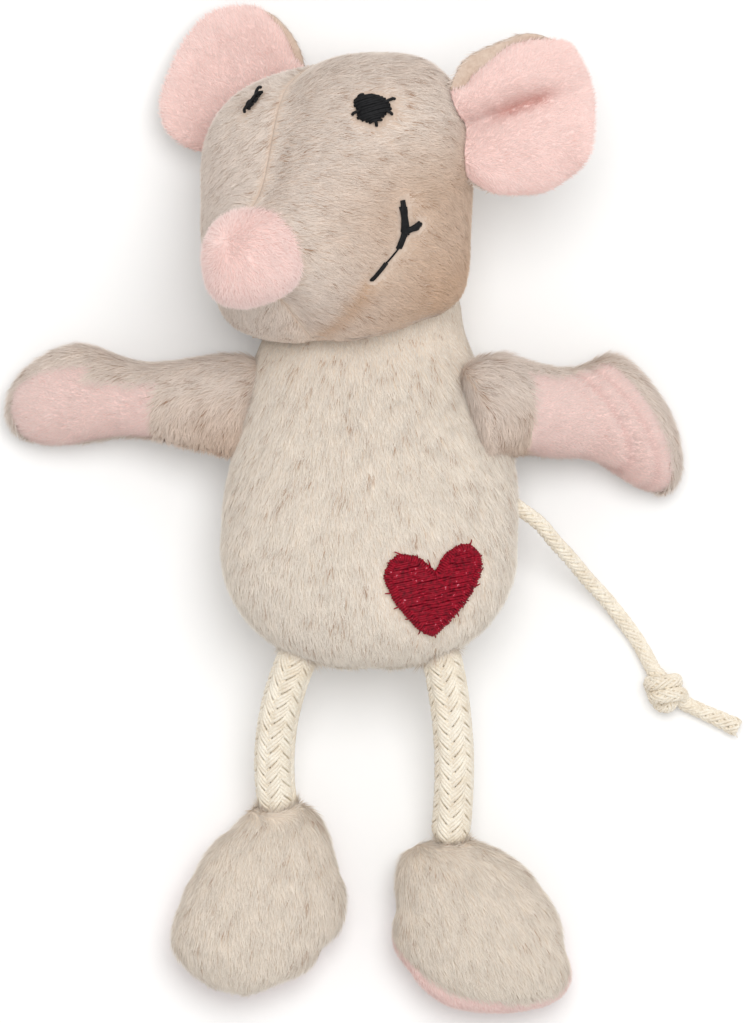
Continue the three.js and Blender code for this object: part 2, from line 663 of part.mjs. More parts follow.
addArm('right', -1, {
  length: RIGHT_ARM_LENGTH,
  bend: RIGHT_ARM_BEND,
  roll: RIGHT_ARM_ROLL,
  wristAt: RIGHT_WRIST_AT,
  wristHalfWidth: RIGHT_WRIST_HALF_WIDTH,
  pawAt: RIGHT_PAW_AT,
  pawHalfWidth: RIGHT_PAW_HALF_WIDTH,
  pawStart: RIGHT_PAW_START,
});
addArm('left', 1, {
  length: LEFT_ARM_LENGTH,
  bend: LEFT_ARM_BEND,
  roll: LEFT_ARM_ROLL,
  wristAt: LEFT_WRIST_AT,
  wristHalfWidth: LEFT_WRIST_HALF_WIDTH,
  pawAt: LEFT_PAW_AT,
  pawHalfWidth: LEFT_PAW_HALF_WIDTH,
  pawStart: LEFT_PAW_START,
});

// Legs and feet

// A rope with round ends along a curve.
function ropeForm(curve, radius) {
  const sides = 10;
  const steps = 6;
  const frames = curve.computeFrenetFrames(steps);
  const rings = [];
  const ring = (centre, frame, share) => rings.push(ringAngles(sides).map((angle) => centre.clone()
    .addScaledVector(frames.normals[frame], radius * share * Math.cos(angle))
    .addScaledVector(frames.binormals[frame], radius * share * Math.sin(angle))));
  const cap = (frame, way, angle) => {
    const centre = curve.getPointAt(frame / steps);
    centre.addScaledVector(frames.tangents[frame], way * radius * Math.sin(angle));
    ring(centre, frame, Math.cos(angle));
  };
  const capAngles = [1, 2].map((step) => (step / 3) * (Math.PI / 2));
  capAngles.toReversed().forEach((angle) => cap(0, -1, angle));
  for (let step = 0; step <= steps; step += 1) {
    ring(curve.getPointAt(step / steps), step, 1);
  }
  capAngles.forEach((angle) => cap(steps, 1, angle));
  const first = curve.getPointAt(0).addScaledVector(frames.tangents[0], -radius);
  const last = curve.getPointAt(1).addScaledVector(frames.tangents[steps], radius);
  return loft(first, rings, last);
}

// Foot form in its own frame: +X to the toe, +Z up.
function footForm(inset) {
  const sides = 14;
  const steps = 8;
  const rings = [];
  for (let step = 1; step < steps; step += 1) {
    const along = -Math.cos((step / steps) * Math.PI);
    const share = bulge(along, FOOT_FULLNESS) * (1 + FOOT_TAPER * along);
    rings.push(ringAngles(sides).map((angle) => new THREE.Vector3(
      (FOOT_HALF_LENGTH - inset) * along,
      (FOOT_HALF_WIDTH - inset) * share * Math.cos(angle),
      (FOOT_HALF_DEPTH - inset) * share * Math.sin(angle))));
  }
  return loft(new THREE.Vector3(inset - FOOT_HALF_LENGTH, 0, 0), rings,
    new THREE.Vector3(FOOT_HALF_LENGTH - inset, 0, 0));
}

function addLeg(side, hip, size) {
  const drop = hip.z - ANKLE_HEIGHT;
  const reach = Math.sqrt(size.length ** 2 - drop ** 2);
  const heading = degrees(size.heading);
  const ankle = new THREE.Vector3(
    hip.x + reach * Math.cos(heading), hip.y + reach * Math.sin(heading), ANKLE_HEIGHT);
  const leg = jointGroup(mouse, hip);
  const bowed = hip.clone().lerp(ankle, 0.5).add(new THREE.Vector3(2 * size.bow, 0, 0));
  const rope = new THREE.QuadraticBezierCurve3(hip.clone(), bowed, ankle.clone());
  add(leg, `${side}_leg_rope`, solid(ropeForm(rope, ROPE_RADIUS)), COTTON);

  const toe = degrees(size.toe);
  const towardsLeg = toe + Math.PI + degrees(size.ankleTurn);
  const offHeel = degrees(size.ankleTurn);
  const footZ = FOOT_HALF_DEPTH - FLOOR_FLAT;
  const rise = bulge((ANKLE_HEIGHT - footZ) / FOOT_HALF_DEPTH, 2);
  const heelRadius = rise / Math.hypot(
    Math.cos(offHeel) / FOOT_HALF_LENGTH, Math.sin(offHeel) / FOOT_HALF_WIDTH);
  const span = heelRadius + ANKLE_STANDOFF;
  const foot = jointGroup(leg, ankle);
  const centre = new THREE.Vector3(
    ankle.x - span * Math.cos(towardsLeg), ankle.y - span * Math.sin(towardsLeg), footZ);
  const place = new THREE.Matrix4().makeRotationZ(toe).setPosition(centre);
  const socket = ball(ankle, ROPE_RADIUS + SOCKET_GAP, 12);
  const form = (inset) => solid(footForm(inset).applyMatrix4(place));
  const skin = form(0).subtract(form(CLOTH)).subtract(socket).intersect(aboveFloor);
  const tilt = degrees(size.soleTilt);
  const seamNormal = new THREE.Vector3(-Math.sin(tilt), 0, Math.cos(tilt)).transformDirection(place);
  const seam = seamSides(centre.clone().addScaledVector(UP, SOLE_SEAM_Z), seamNormal);
  add(foot, `${side}_foot_upper`, skin.intersect(seam.front), TAUPE);
  add(foot, `${side}_foot_sole`, skin.intersect(seam.back), PINK);
  add(foot, `${side}_foot_stuffing`, form(CLOTH + GAP).subtract(socket), FIBRE);
}

addLeg('right', rightHip, {
  length: RIGHT_LEG_LENGTH,
  heading: RIGHT_LEG_HEADING,
  bow: RIGHT_LEG_BOW,
  toe: RIGHT_TOE_HEADING,
  ankleTurn: ANKLE_OFF_HEEL,
  soleTilt: RIGHT_SOLE_TILT,
});
addLeg('left', leftHip, {
  length: LEFT_LEG_LENGTH,
  heading: LEFT_LEG_HEADING,
  bow: LEFT_LEG_BOW,
  toe: LEFT_TOE_HEADING,
  ankleTurn: -ANKLE_OFF_HEEL,
  soleTilt: LEFT_SOLE_TILT,
});

// Tail

function cordTube(points, steps) {
  const section = new THREE.Shape().absarc(0, 0, CORD_RADIUS, 0, 2 * Math.PI);
  const extrudePath = new THREE.CatmullRomCurve3(points.map((point) => new THREE.Vector3(...point)));
  return new THREE.ExtrudeGeometry(section, { steps, extrudePath, curveSegments: 4 });
}

const tail = jointGroup(mouse, tailRoot);
const tailPoints = [[tailRoot.x, tailRoot.y, tailRoot.z], ...TAIL_ROUTE];
add(tail, 'tail_cord', solid(cordTube(tailPoints, 16)), COTTON);
add(tail, 'tail_tip', solid(cordTube(TIP_ROUTE, 5)), COTTON);

// The overhand knot: two wraps of the cord that cross over its core.
const knotZ = KNOT_WRAP_RADIUS + CORD_RADIUS;
function knotWrap(tilt, shift) {
  const wrap = new THREE.TorusGeometry(KNOT_WRAP_RADIUS, CORD_RADIUS, 6, 12);
  wrap.rotateY(Math.PI / 2).rotateZ(degrees(tilt)).translate(shift, 0, 0);
  wrap.rotateZ(degrees(KNOT_TURN)).translate(KNOT_X, KNOT_Y, knotZ);
  return solid(wrap);
}
const knotCore = new THREE.SphereGeometry(KNOT_WRAP_RADIUS + CORD_RADIUS / 2, 10, 6);
const knot = solid(knotCore.translate(KNOT_X, KNOT_Y, knotZ))
  .add(knotWrap(KNOT_WRAP_TILT, -CORD_RADIUS))
  .add(knotWrap(-KNOT_WRAP_TILT, CORD_RADIUS));
const knotRoom = solid(cordTube(tailPoints, 16)).add(solid(cordTube(TIP_ROUTE, 5)));
add(tail, 'tail_knot', knot.subtract(knotRoom), COTTON);

export default mouse;
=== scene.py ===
import math

import bmesh
import bpy
import numpy as np
from mathutils import Matrix, Vector
from mathutils.bvhtree import BVHTree


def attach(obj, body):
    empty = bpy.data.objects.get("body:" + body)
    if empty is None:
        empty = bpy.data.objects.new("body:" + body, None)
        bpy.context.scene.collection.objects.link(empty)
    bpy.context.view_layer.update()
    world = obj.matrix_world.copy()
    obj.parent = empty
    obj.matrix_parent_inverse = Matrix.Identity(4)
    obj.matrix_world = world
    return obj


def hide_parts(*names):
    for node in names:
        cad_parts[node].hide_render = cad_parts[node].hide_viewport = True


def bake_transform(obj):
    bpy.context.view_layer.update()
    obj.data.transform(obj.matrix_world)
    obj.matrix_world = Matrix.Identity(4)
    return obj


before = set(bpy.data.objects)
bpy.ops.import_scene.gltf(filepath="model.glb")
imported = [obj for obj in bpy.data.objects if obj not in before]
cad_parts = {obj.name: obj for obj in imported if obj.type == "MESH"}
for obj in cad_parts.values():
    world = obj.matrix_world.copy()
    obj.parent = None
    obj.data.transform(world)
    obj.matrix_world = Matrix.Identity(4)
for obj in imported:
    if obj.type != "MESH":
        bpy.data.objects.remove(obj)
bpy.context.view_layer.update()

# The view. The toy lies on its back on a pale table and is seen from straight above through a long
# lens, under one wide soft lamp over the head end, in a pale even room.
MM = 0.001
VIEW_PIXEL = 0.1484 * MM
VIEW_HEIGHT = 1023 * VIEW_PIXEL
VIEW_CENTRE = (0.445 * MM, -1.707 * MM)
SIGHT_LEVEL = 12 * MM
LENS_HEIGHT = 2.4
SENSOR_HEIGHT = 36
FARTHEST_SEEN = 20
WHITE = (1, 1, 1, 1)
ROOM_TINT = (1, 0.99, 0.975, 1)
ROOM_LIGHT = 0.66
LAMP_POWER = 4.5
LAMP_SIZE = 0.6
LAMP_PLACE = Vector((0.1, 0.2, 0.9))
TABLE_HALF = 4
TABLE_WHITE = (0.93, 0.93, 0.93, 1)
TABLE_LIFT = 0.07

scene = bpy.context.scene
scene.view_settings.view_transform = 'Standard'


def placed(name, data):
    thing = bpy.data.objects.new(name, data)
    scene.collection.objects.link(thing)
    return thing


lens = bpy.data.cameras.new("camera")
lens.sensor_fit = 'VERTICAL'
lens.sensor_height = SENSOR_HEIGHT
lens.lens = SENSOR_HEIGHT * (LENS_HEIGHT - SIGHT_LEVEL) / VIEW_HEIGHT
lens.clip_end = FARTHEST_SEEN
camera = placed("camera", lens)
camera.location = (*VIEW_CENTRE, LENS_HEIGHT)
scene.camera = camera

lamp_data = bpy.data.lights.new("soft_lamp", 'AREA')
lamp_data.shape = 'DISK'
lamp_data.size = LAMP_SIZE
lamp_data.energy = LAMP_POWER
lamp = placed("soft_lamp", lamp_data)
lamp.location = LAMP_PLACE
lamp.rotation_euler = LAMP_PLACE.to_track_quat('Z', 'Y').to_euler()


def emptied(owner):
    """The node tree of a world or a material, with no nodes in it."""
    owner.use_nodes = True
    owner.node_tree.nodes.clear()
    return owner.node_tree


def new_node(tree, kind, inputs=None, **settings):
    """A node with its settings. Each input is a value, or a link where it is a node and its output."""
    made = tree.nodes.new(kind)
    for name, value in settings.items():
        setattr(made, name, value)
    for socket, value in (inputs or {}).items():
        if isinstance(value, tuple) and isinstance(value[0], bpy.types.Node):
            tree.links.new(value[0].outputs[value[1]], made.inputs[socket])
        else:
            made.inputs[socket].default_value = value
    return made


def arithmetic(tree, operation, *values):
    """The result of a sum on values or links, as a node and its output."""
    return new_node(tree, 'ShaderNodeMath', dict(enumerate(values)), operation=operation), 0


room = bpy.data.worlds.new("pale_room")
scene.world = room
room_tree = emptied(room)
room_rays = new_node(room_tree, 'ShaderNodeLightPath')
room_seen = arithmetic(room_tree, 'MAXIMUM', (room_rays, 'Is Camera Ray'), (room_rays, 'Is Glossy Ray'))
room_sheer = arithmetic(room_tree, 'MAXIMUM', room_seen, (room_rays, 'Is Transmission Ray'))
room_lit = new_node(room_tree, 'ShaderNodeBackground', {'Color': ROOM_TINT, 'Strength': ROOM_LIGHT})
room_white = new_node(room_tree, 'ShaderNodeBackground', {'Color': WHITE})
room_mix = new_node(room_tree, 'ShaderNodeMixShader', {
    'Fac': room_sheer, 1: (room_lit, 0), 2: (room_white, 0)})
new_node(room_tree, 'ShaderNodeOutputWorld', {'Surface': (room_mix, 0)})

table_mesh = bpy.data.meshes.new("table")
table_mesh.from_pydata([(x * TABLE_HALF, y * TABLE_HALF, 0) for x, y in ((-1, -1), (1, -1), (1, 1), (-1, 1))],
                       [], [(0, 1, 2, 3)])
table = placed("table", table_mesh)
table_white = bpy.data.materials.new("table_white")
table_tree = emptied(table_white)
table_rays = new_node(table_tree, 'ShaderNodeLightPath')
table_share = arithmetic(table_tree, 'MULTIPLY', (table_rays, 'Is Camera Ray'), TABLE_LIFT)
table_glow = new_node(table_tree, 'ShaderNodeEmission', {'Strength': table_share})
table_matt = new_node(table_tree, 'ShaderNodeBsdfDiffuse', {'Color': TABLE_WHITE})
table_sum = new_node(table_tree, 'ShaderNodeAddShader', {0: (table_matt, 0), 1: (table_glow, 0)})
new_node(table_tree, 'ShaderNodeOutputMaterial', {'Surface': (table_sum, 0)})
table_mesh.materials.append(table_white)

# The tail. A thin limp cotton cord, plaited from eight carriers of doubled yarn, is caught in the
# side seam, runs down to the table and ends in an overhand knot with a short brushed-out end.
TAIL_ROOT = (21.592, -0.7, 13.474)
TAIL_ROUTE = [
    (20.3, 0.5, 13.7), TAIL_ROOT, (25.2, -3.4, 12.2), (27.6, -6.2, 10.2), (30.1, -8.9, 7.6),
    (32.6, -11.9, 4.9), (35.3, -14.8, 2.8), (37.7, -17.8, 1.6), (39.9, -20.8, 1.3),
    (41.5, -23.6, 1.4), (42.5, -25.6, 1.6)]
TIP_ROUTE = [(46.9, -30.2, 1.5), (49.4, -31.4, 1.35), (52.1, -32.6, 1.3), (55, -34, 1.3)]
CORD_MIDDLE = 0.8
CORD_LIFT = 0.11
CORD_YARN = 0.25
CORD_CARRIERS = 4
CORD_DOUBLING = 2
CORD_SPREAD = 0.62
CORD_PITCH = 7.5
CORD_STEP = 0.28
CORD_CORE = 0.72
CORE_SKIP = 3
CORD_TABLE = 0.02
YARN_SIDES = 6
COTTON_SHADE = (228, 214, 192)
COTTON_PALE = (250, 243, 229)
COTTON_GRAIN = 0.35


def linear(colour):
    share = [c / 255 for c in colour]
    return tuple(c / 12.92 if c <= 0.04045 else ((c + 0.055) / 1.055) ** 2.4 for c in share) + (1,)


def ramp(tree, source, *stops):
    """A run of colours through stops of a place and a colour, as a node and its output."""
    made = new_node(tree, 'ShaderNodeValToRGB', {'Fac': source})
    elements = made.color_ramp.elements
    for number, (place, colour) in enumerate(stops):
        element = elements[number] if number < 2 else elements.new(place)
        element.position = place
        element.color = colour
    return made, 'Color'


def surfaced(finish, inputs):
    """The finish, with the surface that ends its node tree."""
    surface = new_node(finish.node_tree, 'ShaderNodeBsdfPrincipled', inputs)
    new_node(finish.node_tree, 'ShaderNodeOutputMaterial', {'Surface': (surface, 'BSDF')})
    return finish


def fibre_finish(name, shade, pale, grain, rough=0.85, sheen=0.2, bump=0.3, shine=0.3):
    """Spun or matted fibre: patches of two tones, with a finer grain in colour and in height."""
    finish = bpy.data.materials.new(name)
    tree = emptied(finish)
    place = (new_node(tree, 'ShaderNodeTexCoord'), 'Object')
    patches = new_node(tree, 'ShaderNodeTexNoise', {
        'Vector': place, 'Scale': 1 / (grain * 7 * MM), 'Detail': 3})
    fibres = new_node(tree, 'ShaderNodeTexNoise', {
        'Vector': place, 'Scale': 1 / (grain * MM), 'Detail': 4, 'Distortion': 0.6})
    patch_share = arithmetic(tree, 'MULTIPLY', (patches, 'Fac'), 0.45)
    blend = arithmetic(tree, 'MULTIPLY_ADD', (fibres, 'Fac'), 0.55, patch_share)
    height = new_node(tree, 'ShaderNodeBump', {
        'Strength': bump, 'Distance': grain * 0.4 * MM, 'Height': (fibres, 'Fac')})
    return surfaced(finish, {
        'Base Color': ramp(tree, blend, (0.32, linear(shade)), (0.62, linear(pale))),
        'Normal': (height, 'Normal'), 'Roughness': rough, 'Specular IOR Level': shine,
        'Sheen Weight': sheen, 'Sheen Roughness': 0.5})


def resampled(line, step):
    run = np.concatenate([[0], np.cumsum(np.linalg.norm(np.diff(line, axis=0), axis=1))])
    places = np.linspace(0, run[-1], max(3, round(run[-1] / step) + 1))
    return np.stack([np.interp(places, run, line[:, axis]) for axis in range(3)], axis=1)


def smooth_route(points, step):
    """A smooth line through the points, at even steps."""
    p = np.array(points, float)
    p = np.vstack([2 * p[0] - p[1], p, 2 * p[-1] - p[-2]])
    knots = np.concatenate([[0], np.cumsum(np.linalg.norm(np.diff(p, axis=0), axis=1) ** 0.5)])
    line = []
    for k in range(1, len(p) - 2):
        t0, t1, t2, t3 = knots[k - 1:k + 3]
        t = np.linspace(t1, t2, 24, endpoint=False)[:, None]
        a = (t1 - t) / (t1 - t0) * p[k - 1] + (t - t0) / (t1 - t0) * p[k]
        b = (t2 - t) / (t2 - t1) * p[k] + (t - t1) / (t2 - t1) * p[k + 1]
        c = (t3 - t) / (t3 - t2) * p[k + 1] + (t - t2) / (t3 - t2) * p[k + 2]
        d = (t2 - t) / (t2 - t0) * a + (t - t0) / (t2 - t0) * b
        e = (t3 - t) / (t3 - t1) * b + (t - t1) / (t3 - t1) * c
        line.append((t2 - t) / (t2 - t1) * d + (t - t1) / (t2 - t1) * e)
    return resampled(np.vstack(line + [p[-2:-1]]), step)


def unit(vectors):
    return vectors / np.maximum(np.linalg.norm(vectors, axis=-1, keepdims=True), 1e-12)


def carried_frames(route):
    """Two cross directions at each point of a route, carried along it without twist."""
    tangents = unit(np.gradient(route, axis=0))
    side = unit(np.cross(tangents[0], (0.31, 0.17, 0.93)))
    sides = []
    for tangent in tangents:
        side = unit(side - tangent * np.dot(side, tangent))
        sides.append(side)
    sides = np.array(sides)
    return sides, np.cross(tangents, sides)


def plait(route, middle, lift, carriers, yarns, spread, pitch, narrowing=None):
    """Yarn paths of a round plait: carriers run each way round and pass two over, two under."""
    run = np.concatenate([[0], np.cumsum(np.linalg.norm(np.diff(route, axis=0), axis=1))])
    across, up = carried_frames(route)
    narrow = np.ones(len(route)) if narrowing is None else narrowing
    paths = []
    for way in (1, -1):
        for carrier in range(carriers):
            for yarn in range(yarns):
                angle = 2 * np.pi * (carrier / carriers + way * run / pitch)
                angle = angle + (yarn - (yarns - 1) / 2) * spread
                wave = np.cos(carriers / 2 * (angle - np.pi / (2 * carriers)))
                reach = (middle + way * lift * wave) * narrow
                paths.append(route + across * (reach * np.cos(angle))[:, None]
                             + up * (reach * np.sin(angle))[:, None])
    return paths


def new_tree(name, sizes):
    """A node tree from geometry to geometry, the identifiers of its named inputs, and their node."""
    tree = bpy.data.node_groups.new(name, 'GeometryNodeTree')
    names = {}
    for label, kind in {"Geometry": 'Geometry', **sizes}.items():
        socket = tree.interface.new_socket(label, in_out='INPUT', socket_type='NodeSocket' + kind)
        names[label] = socket.identifier
    tree.interface.new_socket("Geometry", in_out='OUTPUT', socket_type='NodeSocketGeometry')
    return tree, names, new_node(tree, 'NodeGroupInput')


def ended(tree, given, geometry):
    """Ends a node tree with its geometry in the given finish."""
    coated = new_node(tree, 'GeometryNodeSetMaterial', {'Geometry': geometry, 'Material': (given, "Finish")})
    new_node(tree, 'NodeGroupOutput', {"Geometry": (coated, 'Geometry')})


def attribute(tree, name, kind='FLOAT'):
    """A value kept on the points of a mesh, as a node and its output."""
    return new_node(tree, 'GeometryNodeInputNamedAttribute', {'Name': name}, data_type=kind), 'Attribute'


def yarn_tree():
    """Spins a round yarn along every line of a wire mesh."""
    tree, names, given = new_tree("spun_yarn", {
        "Yarn Radius": 'Float', "Yarn Sides": 'Int', "Finish": 'Material'})
    lines = new_node(tree, 'GeometryNodeMeshToCurve', {'Mesh': (given, "Geometry")})
    ring = new_node(tree, 'GeometryNodeCurvePrimitiveCircle', {
        'Resolution': (given, "Yarn Sides"), 'Radius': 1})
    width = arithmetic(tree, 'MULTIPLY', attribute(tree, "thickness"), (given, "Yarn Radius"))
    swept = new_node(tree, 'GeometryNodeCurveToMesh', {
        'Curve': (lines, 'Curve'), 'Profile Curve': (ring, 'Curve'), 'Scale': width, 'Fill Caps': True})
    smooth = new_node(tree, 'GeometryNodeSetShadeSmooth', {'Geometry': (swept, 'Mesh')})
    real = new_node(tree, 'GeometryNodeRealizeInstances', {'Geometry': (smooth, 'Geometry')})
    ended(tree, given, (real, 'Geometry'))
    return tree, names


YARN_TREE = yarn_tree()


def evaluated(thing):
    return thing.evaluated_get(bpy.context.evaluated_depsgraph_get())


def set_values(mesh, name, values, kind='FLOAT'):
    """Keeps a value or a vector on each point of a mesh."""
    mesh.attributes.new(name, kind, 'POINT').data.foreach_set(
        "value" if kind == 'FLOAT' else "vector", np.asarray(values, np.float32).ravel())


def grown(name, ground, tree_and_names, settings, spares):
    """What a node tree makes of a mesh, as a plain mesh object without the spare values."""
    holder = placed(ground.name, ground)
    modifier = holder.modifiers.new("tree", 'NODES')
    modifier.node_group, names = tree_and_names
    for label, value in settings.items():
        modifier[names[label]] = value
    mesh = bpy.data.meshes.new_from_object(evaluated(holder))
    mesh.name = name
    for spare in spares:
        if spare in mesh.attributes:
            mesh.attributes.remove(mesh.attributes[spare])
    bpy.data.objects.remove(holder)
    bpy.data.meshes.remove(ground)
    return placed(name, mesh)


def spun(name, paths, radius, sides, finish, thickness=None):
    """Yarns along paths given in mm, as one piece."""
    spots, edges, widths = [], [], []
    for number, path in enumerate(paths):
        first = len(spots)
        spots.extend((np.asarray(path) * MM).tolist())
        edges.extend((first + k, first + k + 1) for k in range(len(path) - 1))
        widths.extend(np.ones(len(path)) if thickness is None else thickness[number])
    wire = bpy.data.meshes.new(name + "_wire")
    wire.from_pydata(spots, edges, [])
    set_values(wire, "thickness", widths)
    return grown(name, wire, YARN_TREE, {
        "Yarn Radius": radius * MM, "Yarn Sides": sides, "Finish": finish}, ["thickness"])


cotton = fibre_finish("cotton_yarn", COTTON_SHADE, COTTON_PALE, COTTON_GRAIN, sheen=0.15, bump=0.5)


def cord_yarns(route, flare=None):
    """The yarns of the cord along a route, none of them below the table."""
    yarns = plait(route, CORD_MIDDLE, CORD_LIFT, CORD_CARRIERS, CORD_DOUBLING, CORD_SPREAD, CORD_PITCH, flare)
    for path in yarns:
        path[:, 2] = np.maximum(path[:, 2], CORD_YARN + CORD_TABLE)
    return yarns


def corded(name, core, yarns, fray=()):
    """A length of cord: its core, its yarns, and their brushed-out ends where there are any."""
    widths = [np.full(len(core), CORD_CORE / CORD_YARN)] + [np.ones(len(path)) for path in yarns]
    widths += [np.linspace(0.6, 0.25, len(path)) for path in fray]
    return spun(name, [core, *yarns, *fray], CORD_YARN, YARN_SIDES, cotton, widths)


tail_route = smooth_route(TAIL_ROUTE, CORD_STEP)
tail_cord = corded("tail_cord_plait", tail_route[::CORE_SKIP], cord_yarns(tail_route))

KNOT_PLACE = np.array((44.1, -27.95, 3.05))
KNOT_WRAP = 1.85
KNOT_PITCH = 2.0
KNOT_TURNS = 1.5
KNOT_START = -1.35
KNOT_LEAD = (-1.3, -0.4, 0.5)
KNOT_BIGHT = [(1.2, 0.3, 0.25), (2.1, 0.2, 0.2), (2.7, -0.5, -0.3), (2.35, -1.3, -1), (1.3, -1.75, -1.4),
              (0, -1.8, -1.3), (-1.1, -1.75, -0.8)]
KNOT_AXIS = unit(np.array((0.359, -0.933, 0)))
KNOT_ACROSS = np.array((0.933, 0.359, 0))
knot_spots = [(run, 0, min(0, 0.35 * (run + 1)) - 0.15) for run in KNOT_LEAD] + KNOT_BIGHT
for phase in np.radians(np.arange(-20, 360 * KNOT_TURNS + 1, 24)):
    knot_spots.append((KNOT_START + KNOT_PITCH * phase / (2 * np.pi),
                       -KNOT_WRAP * math.cos(phase), KNOT_WRAP * math.sin(phase)))
knot_body = [KNOT_PLACE + KNOT_AXIS * run + KNOT_ACROSS * across + np.array((0, 0, rise))
             for run, across, rise in knot_spots]
knot_route = smooth_route(np.vstack([tail_route[-12:-3:4], knot_body, TIP_ROUTE[:2]]), CORD_STEP)
tail_knot = corded("tail_knot_plait", knot_route[::CORE_SKIP], cord_yarns(knot_route))

TIP_FLARE = 1.35
FRAY_STEPS = 14
FRAYS_PER_YARN = 3
FRAY_SPREAD = 0.32
CORE_SHORT = 5
tip_route = smooth_route(TIP_ROUTE, CORD_STEP)
tip_yarns = cord_yarns(tip_route, 1 + (TIP_FLARE - 1) * np.linspace(0, 1, len(tip_route)) ** 2)
tip_random = np.random.default_rng(11)
tip_fray = []
for path in tip_yarns:
    for _ in range(FRAYS_PER_YARN):
        stray = path[-FRAY_STEPS:].copy()
        stray += np.linspace(0, 1, FRAY_STEPS)[:, None] ** 2 * tip_random.normal(0, FRAY_SPREAD, 3)
        stray[:, 2] = np.maximum(stray[:, 2], CORD_YARN)
        tip_fray.append(stray[:tip_random.integers(9, FRAY_STEPS + 1)])
tail_tip = corded("tail_tip_plait", tip_route[:-CORE_SHORT:CORE_SKIP], tip_yarns, tip_fray)
for piece, node in ((tail_cord, "tail_cord"), (tail_knot, "tail_knot"), (tail_tip, "tail_tip")):
    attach(piece, "tail")
    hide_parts(node)

# The body bag. Two panels of long-pile cream plush, front and back, are sewn together along the
# side seam and stuffed with fibre, so the bag is a pear that swells between its seams.
BELLY_HALF_DEPTH = 14.6
BELLY_Y = -5.9
BELLY_TO_BOTTOM = 19.2
BOTTOM_FULLNESS = 2.2
NECK_Y = 24
NECK_RADIUS = 15.6
NECK_ROOM = 15.9
THROAT = 2
SIDES = [(-5.9, 22.6, 0), (0, 22.6, 0.3), (4.5, 22, 0.5), (9, 21.1, 0.7), (14.3, 19.7, 0.3),
         (19, 18.1, -0.4), (22.3, 16.8, -0.7), (24, 16.2, -0.6)]
NECK_HALF_DEPTH = 11
BELLY_Z = 14.1
NECK_Z = 10.5
NECK_POINT = np.array((0, NECK_Y, NECK_Z))
SEAM_SLOPE = (NECK_Z - BELLY_Z) / (NECK_Y - BELLY_Y)
SEAM_NORMAL = unit(np.array((0, -SEAM_SLOPE, 1)))
HIPS = {"right": np.array((-10.9, -23.962, 16.275)), "left": np.array((10.9, -23.962, 16.275))}
ROPE_SOCKET = 3.1
SEAM_DIP = 0.7
PINNED = 0.99
OUTLINE_BINS = 48
SKIN_REST = 0.35
CLOTH_THICKNESS = 1.1
SIM_SCALE = 25
SIM_FRAMES = 20
SIM_CLOTH = {"quality": 5, "mass": 0.3, "tension_stiffness": 15, "compression_stiffness": 15,
             "shear_stiffness": 5, "bending_stiffness": 0.6, "use_pressure": True}
CREAM = {"root": (230, 215, 198), "tip": (250, 242, 231), "fleck": (192, 163, 140), "flecks": 0.11}
CREAM_CLOTH = ((216, 199, 180), (232, 218, 201))
LONG_PILE = {"density": 17, "shortest": 1.6, "longest": 2.9, "width": 0.085, "stray": 0.3,
             "tuft": 2.0, "lean": 0.6}


def eased(t):
    return 0.5 - 0.5 * np.cos(np.pi * t)


def mixed(a, b, t):
    return a + (b - a) * t


def lofted(first, rings, last):
    """Points and faces of a skin over closed rings between two end points."""
    sides = len(rings[0])
    points = np.vstack([[first]] + rings + [[last]])
    faces = [(0, 1 + (k + 1) % sides, 1 + k) for k in range(sides)]
    for r in range(len(rings) - 1):
        low = 1 + r * sides
        high = low + sides
        faces += [(low + k, low + (k + 1) % sides, high + (k + 1) % sides, high + k)
                  for k in range(sides)]
    low = 1 + (len(rings) - 1) * sides
    faces += [(low + k, low + (k + 1) % sides, len(points) - 1) for k in range(sides)]
    return points, faces


def body_form(sides=56):
    angle = np.arange(sides) / sides * 2 * np.pi

    def ring(y, half_width, half_depth, centre, throat=0):
        middle = BELLY_Z + SEAM_SLOPE * (min(y, NECK_Y) - BELLY_Y)
        return np.stack([centre + half_width * np.cos(angle), np.full(sides, y),
                         middle + (half_depth + throat * (angle < np.pi)) * np.sin(angle)], axis=1)

    levels, half_widths, centres = np.array(SIDES).T
    rings = []
    for a in np.linspace(0, np.pi / 2, 15)[1:]:
        share = np.sin(a) ** (2 / BOTTOM_FULLNESS)
        drop = np.cos(a) ** (2 / BOTTOM_FULLNESS) if a < 1.57 else 0
        rings.append(ring(BELLY_Y - BELLY_TO_BOTTOM * drop, half_widths[0] * share,
                          BELLY_HALF_DEPTH * share, 0))
    for y in np.linspace(BELLY_Y, NECK_Y, 17)[1:]:
        share = (y - BELLY_Y) / (NECK_Y - BELLY_Y)
        rings.append(ring(y, np.interp(y, levels, half_widths),
                          mixed(BELLY_HALF_DEPTH, NECK_HALF_DEPTH, share), np.interp(y, levels, centres)))
    for a in np.linspace(0, np.pi / 2, 10)[1:-1]:
        rise = NECK_RADIUS * np.sin(a)
        room = 0.97 * math.sqrt(NECK_ROOM ** 2 - rise ** 2)
        depth = min(NECK_HALF_DEPTH, room)
        rings.append(ring(NECK_Y + rise, min(half_widths[-1], room) * (1 if rise < 8 else 0.97), depth,
                          centres[-1] * max(1 - rise / 6, 0),
                          min(THROAT * eased(min(rise / 6, 1)), room - depth)))
    bottom = BELLY_Y - BELLY_TO_BOTTOM
    return lofted((0, bottom, BELLY_Z + SEAM_SLOPE * (bottom - BELLY_Y)), rings,
                  (centres[-1], NECK_Y + NECK_RADIUS, NECK_Z))


def rim_reach(rim, middle, bearing):
    """How far a rim lies from a middle, along each bearing."""
    spots = np.array(rim) - middle
    return np.interp(bearing, np.arctan2(spots[:, 1], spots[:, 0]), np.hypot(spots[:, 0], spots[:, 1]),
                     period=2 * np.pi)


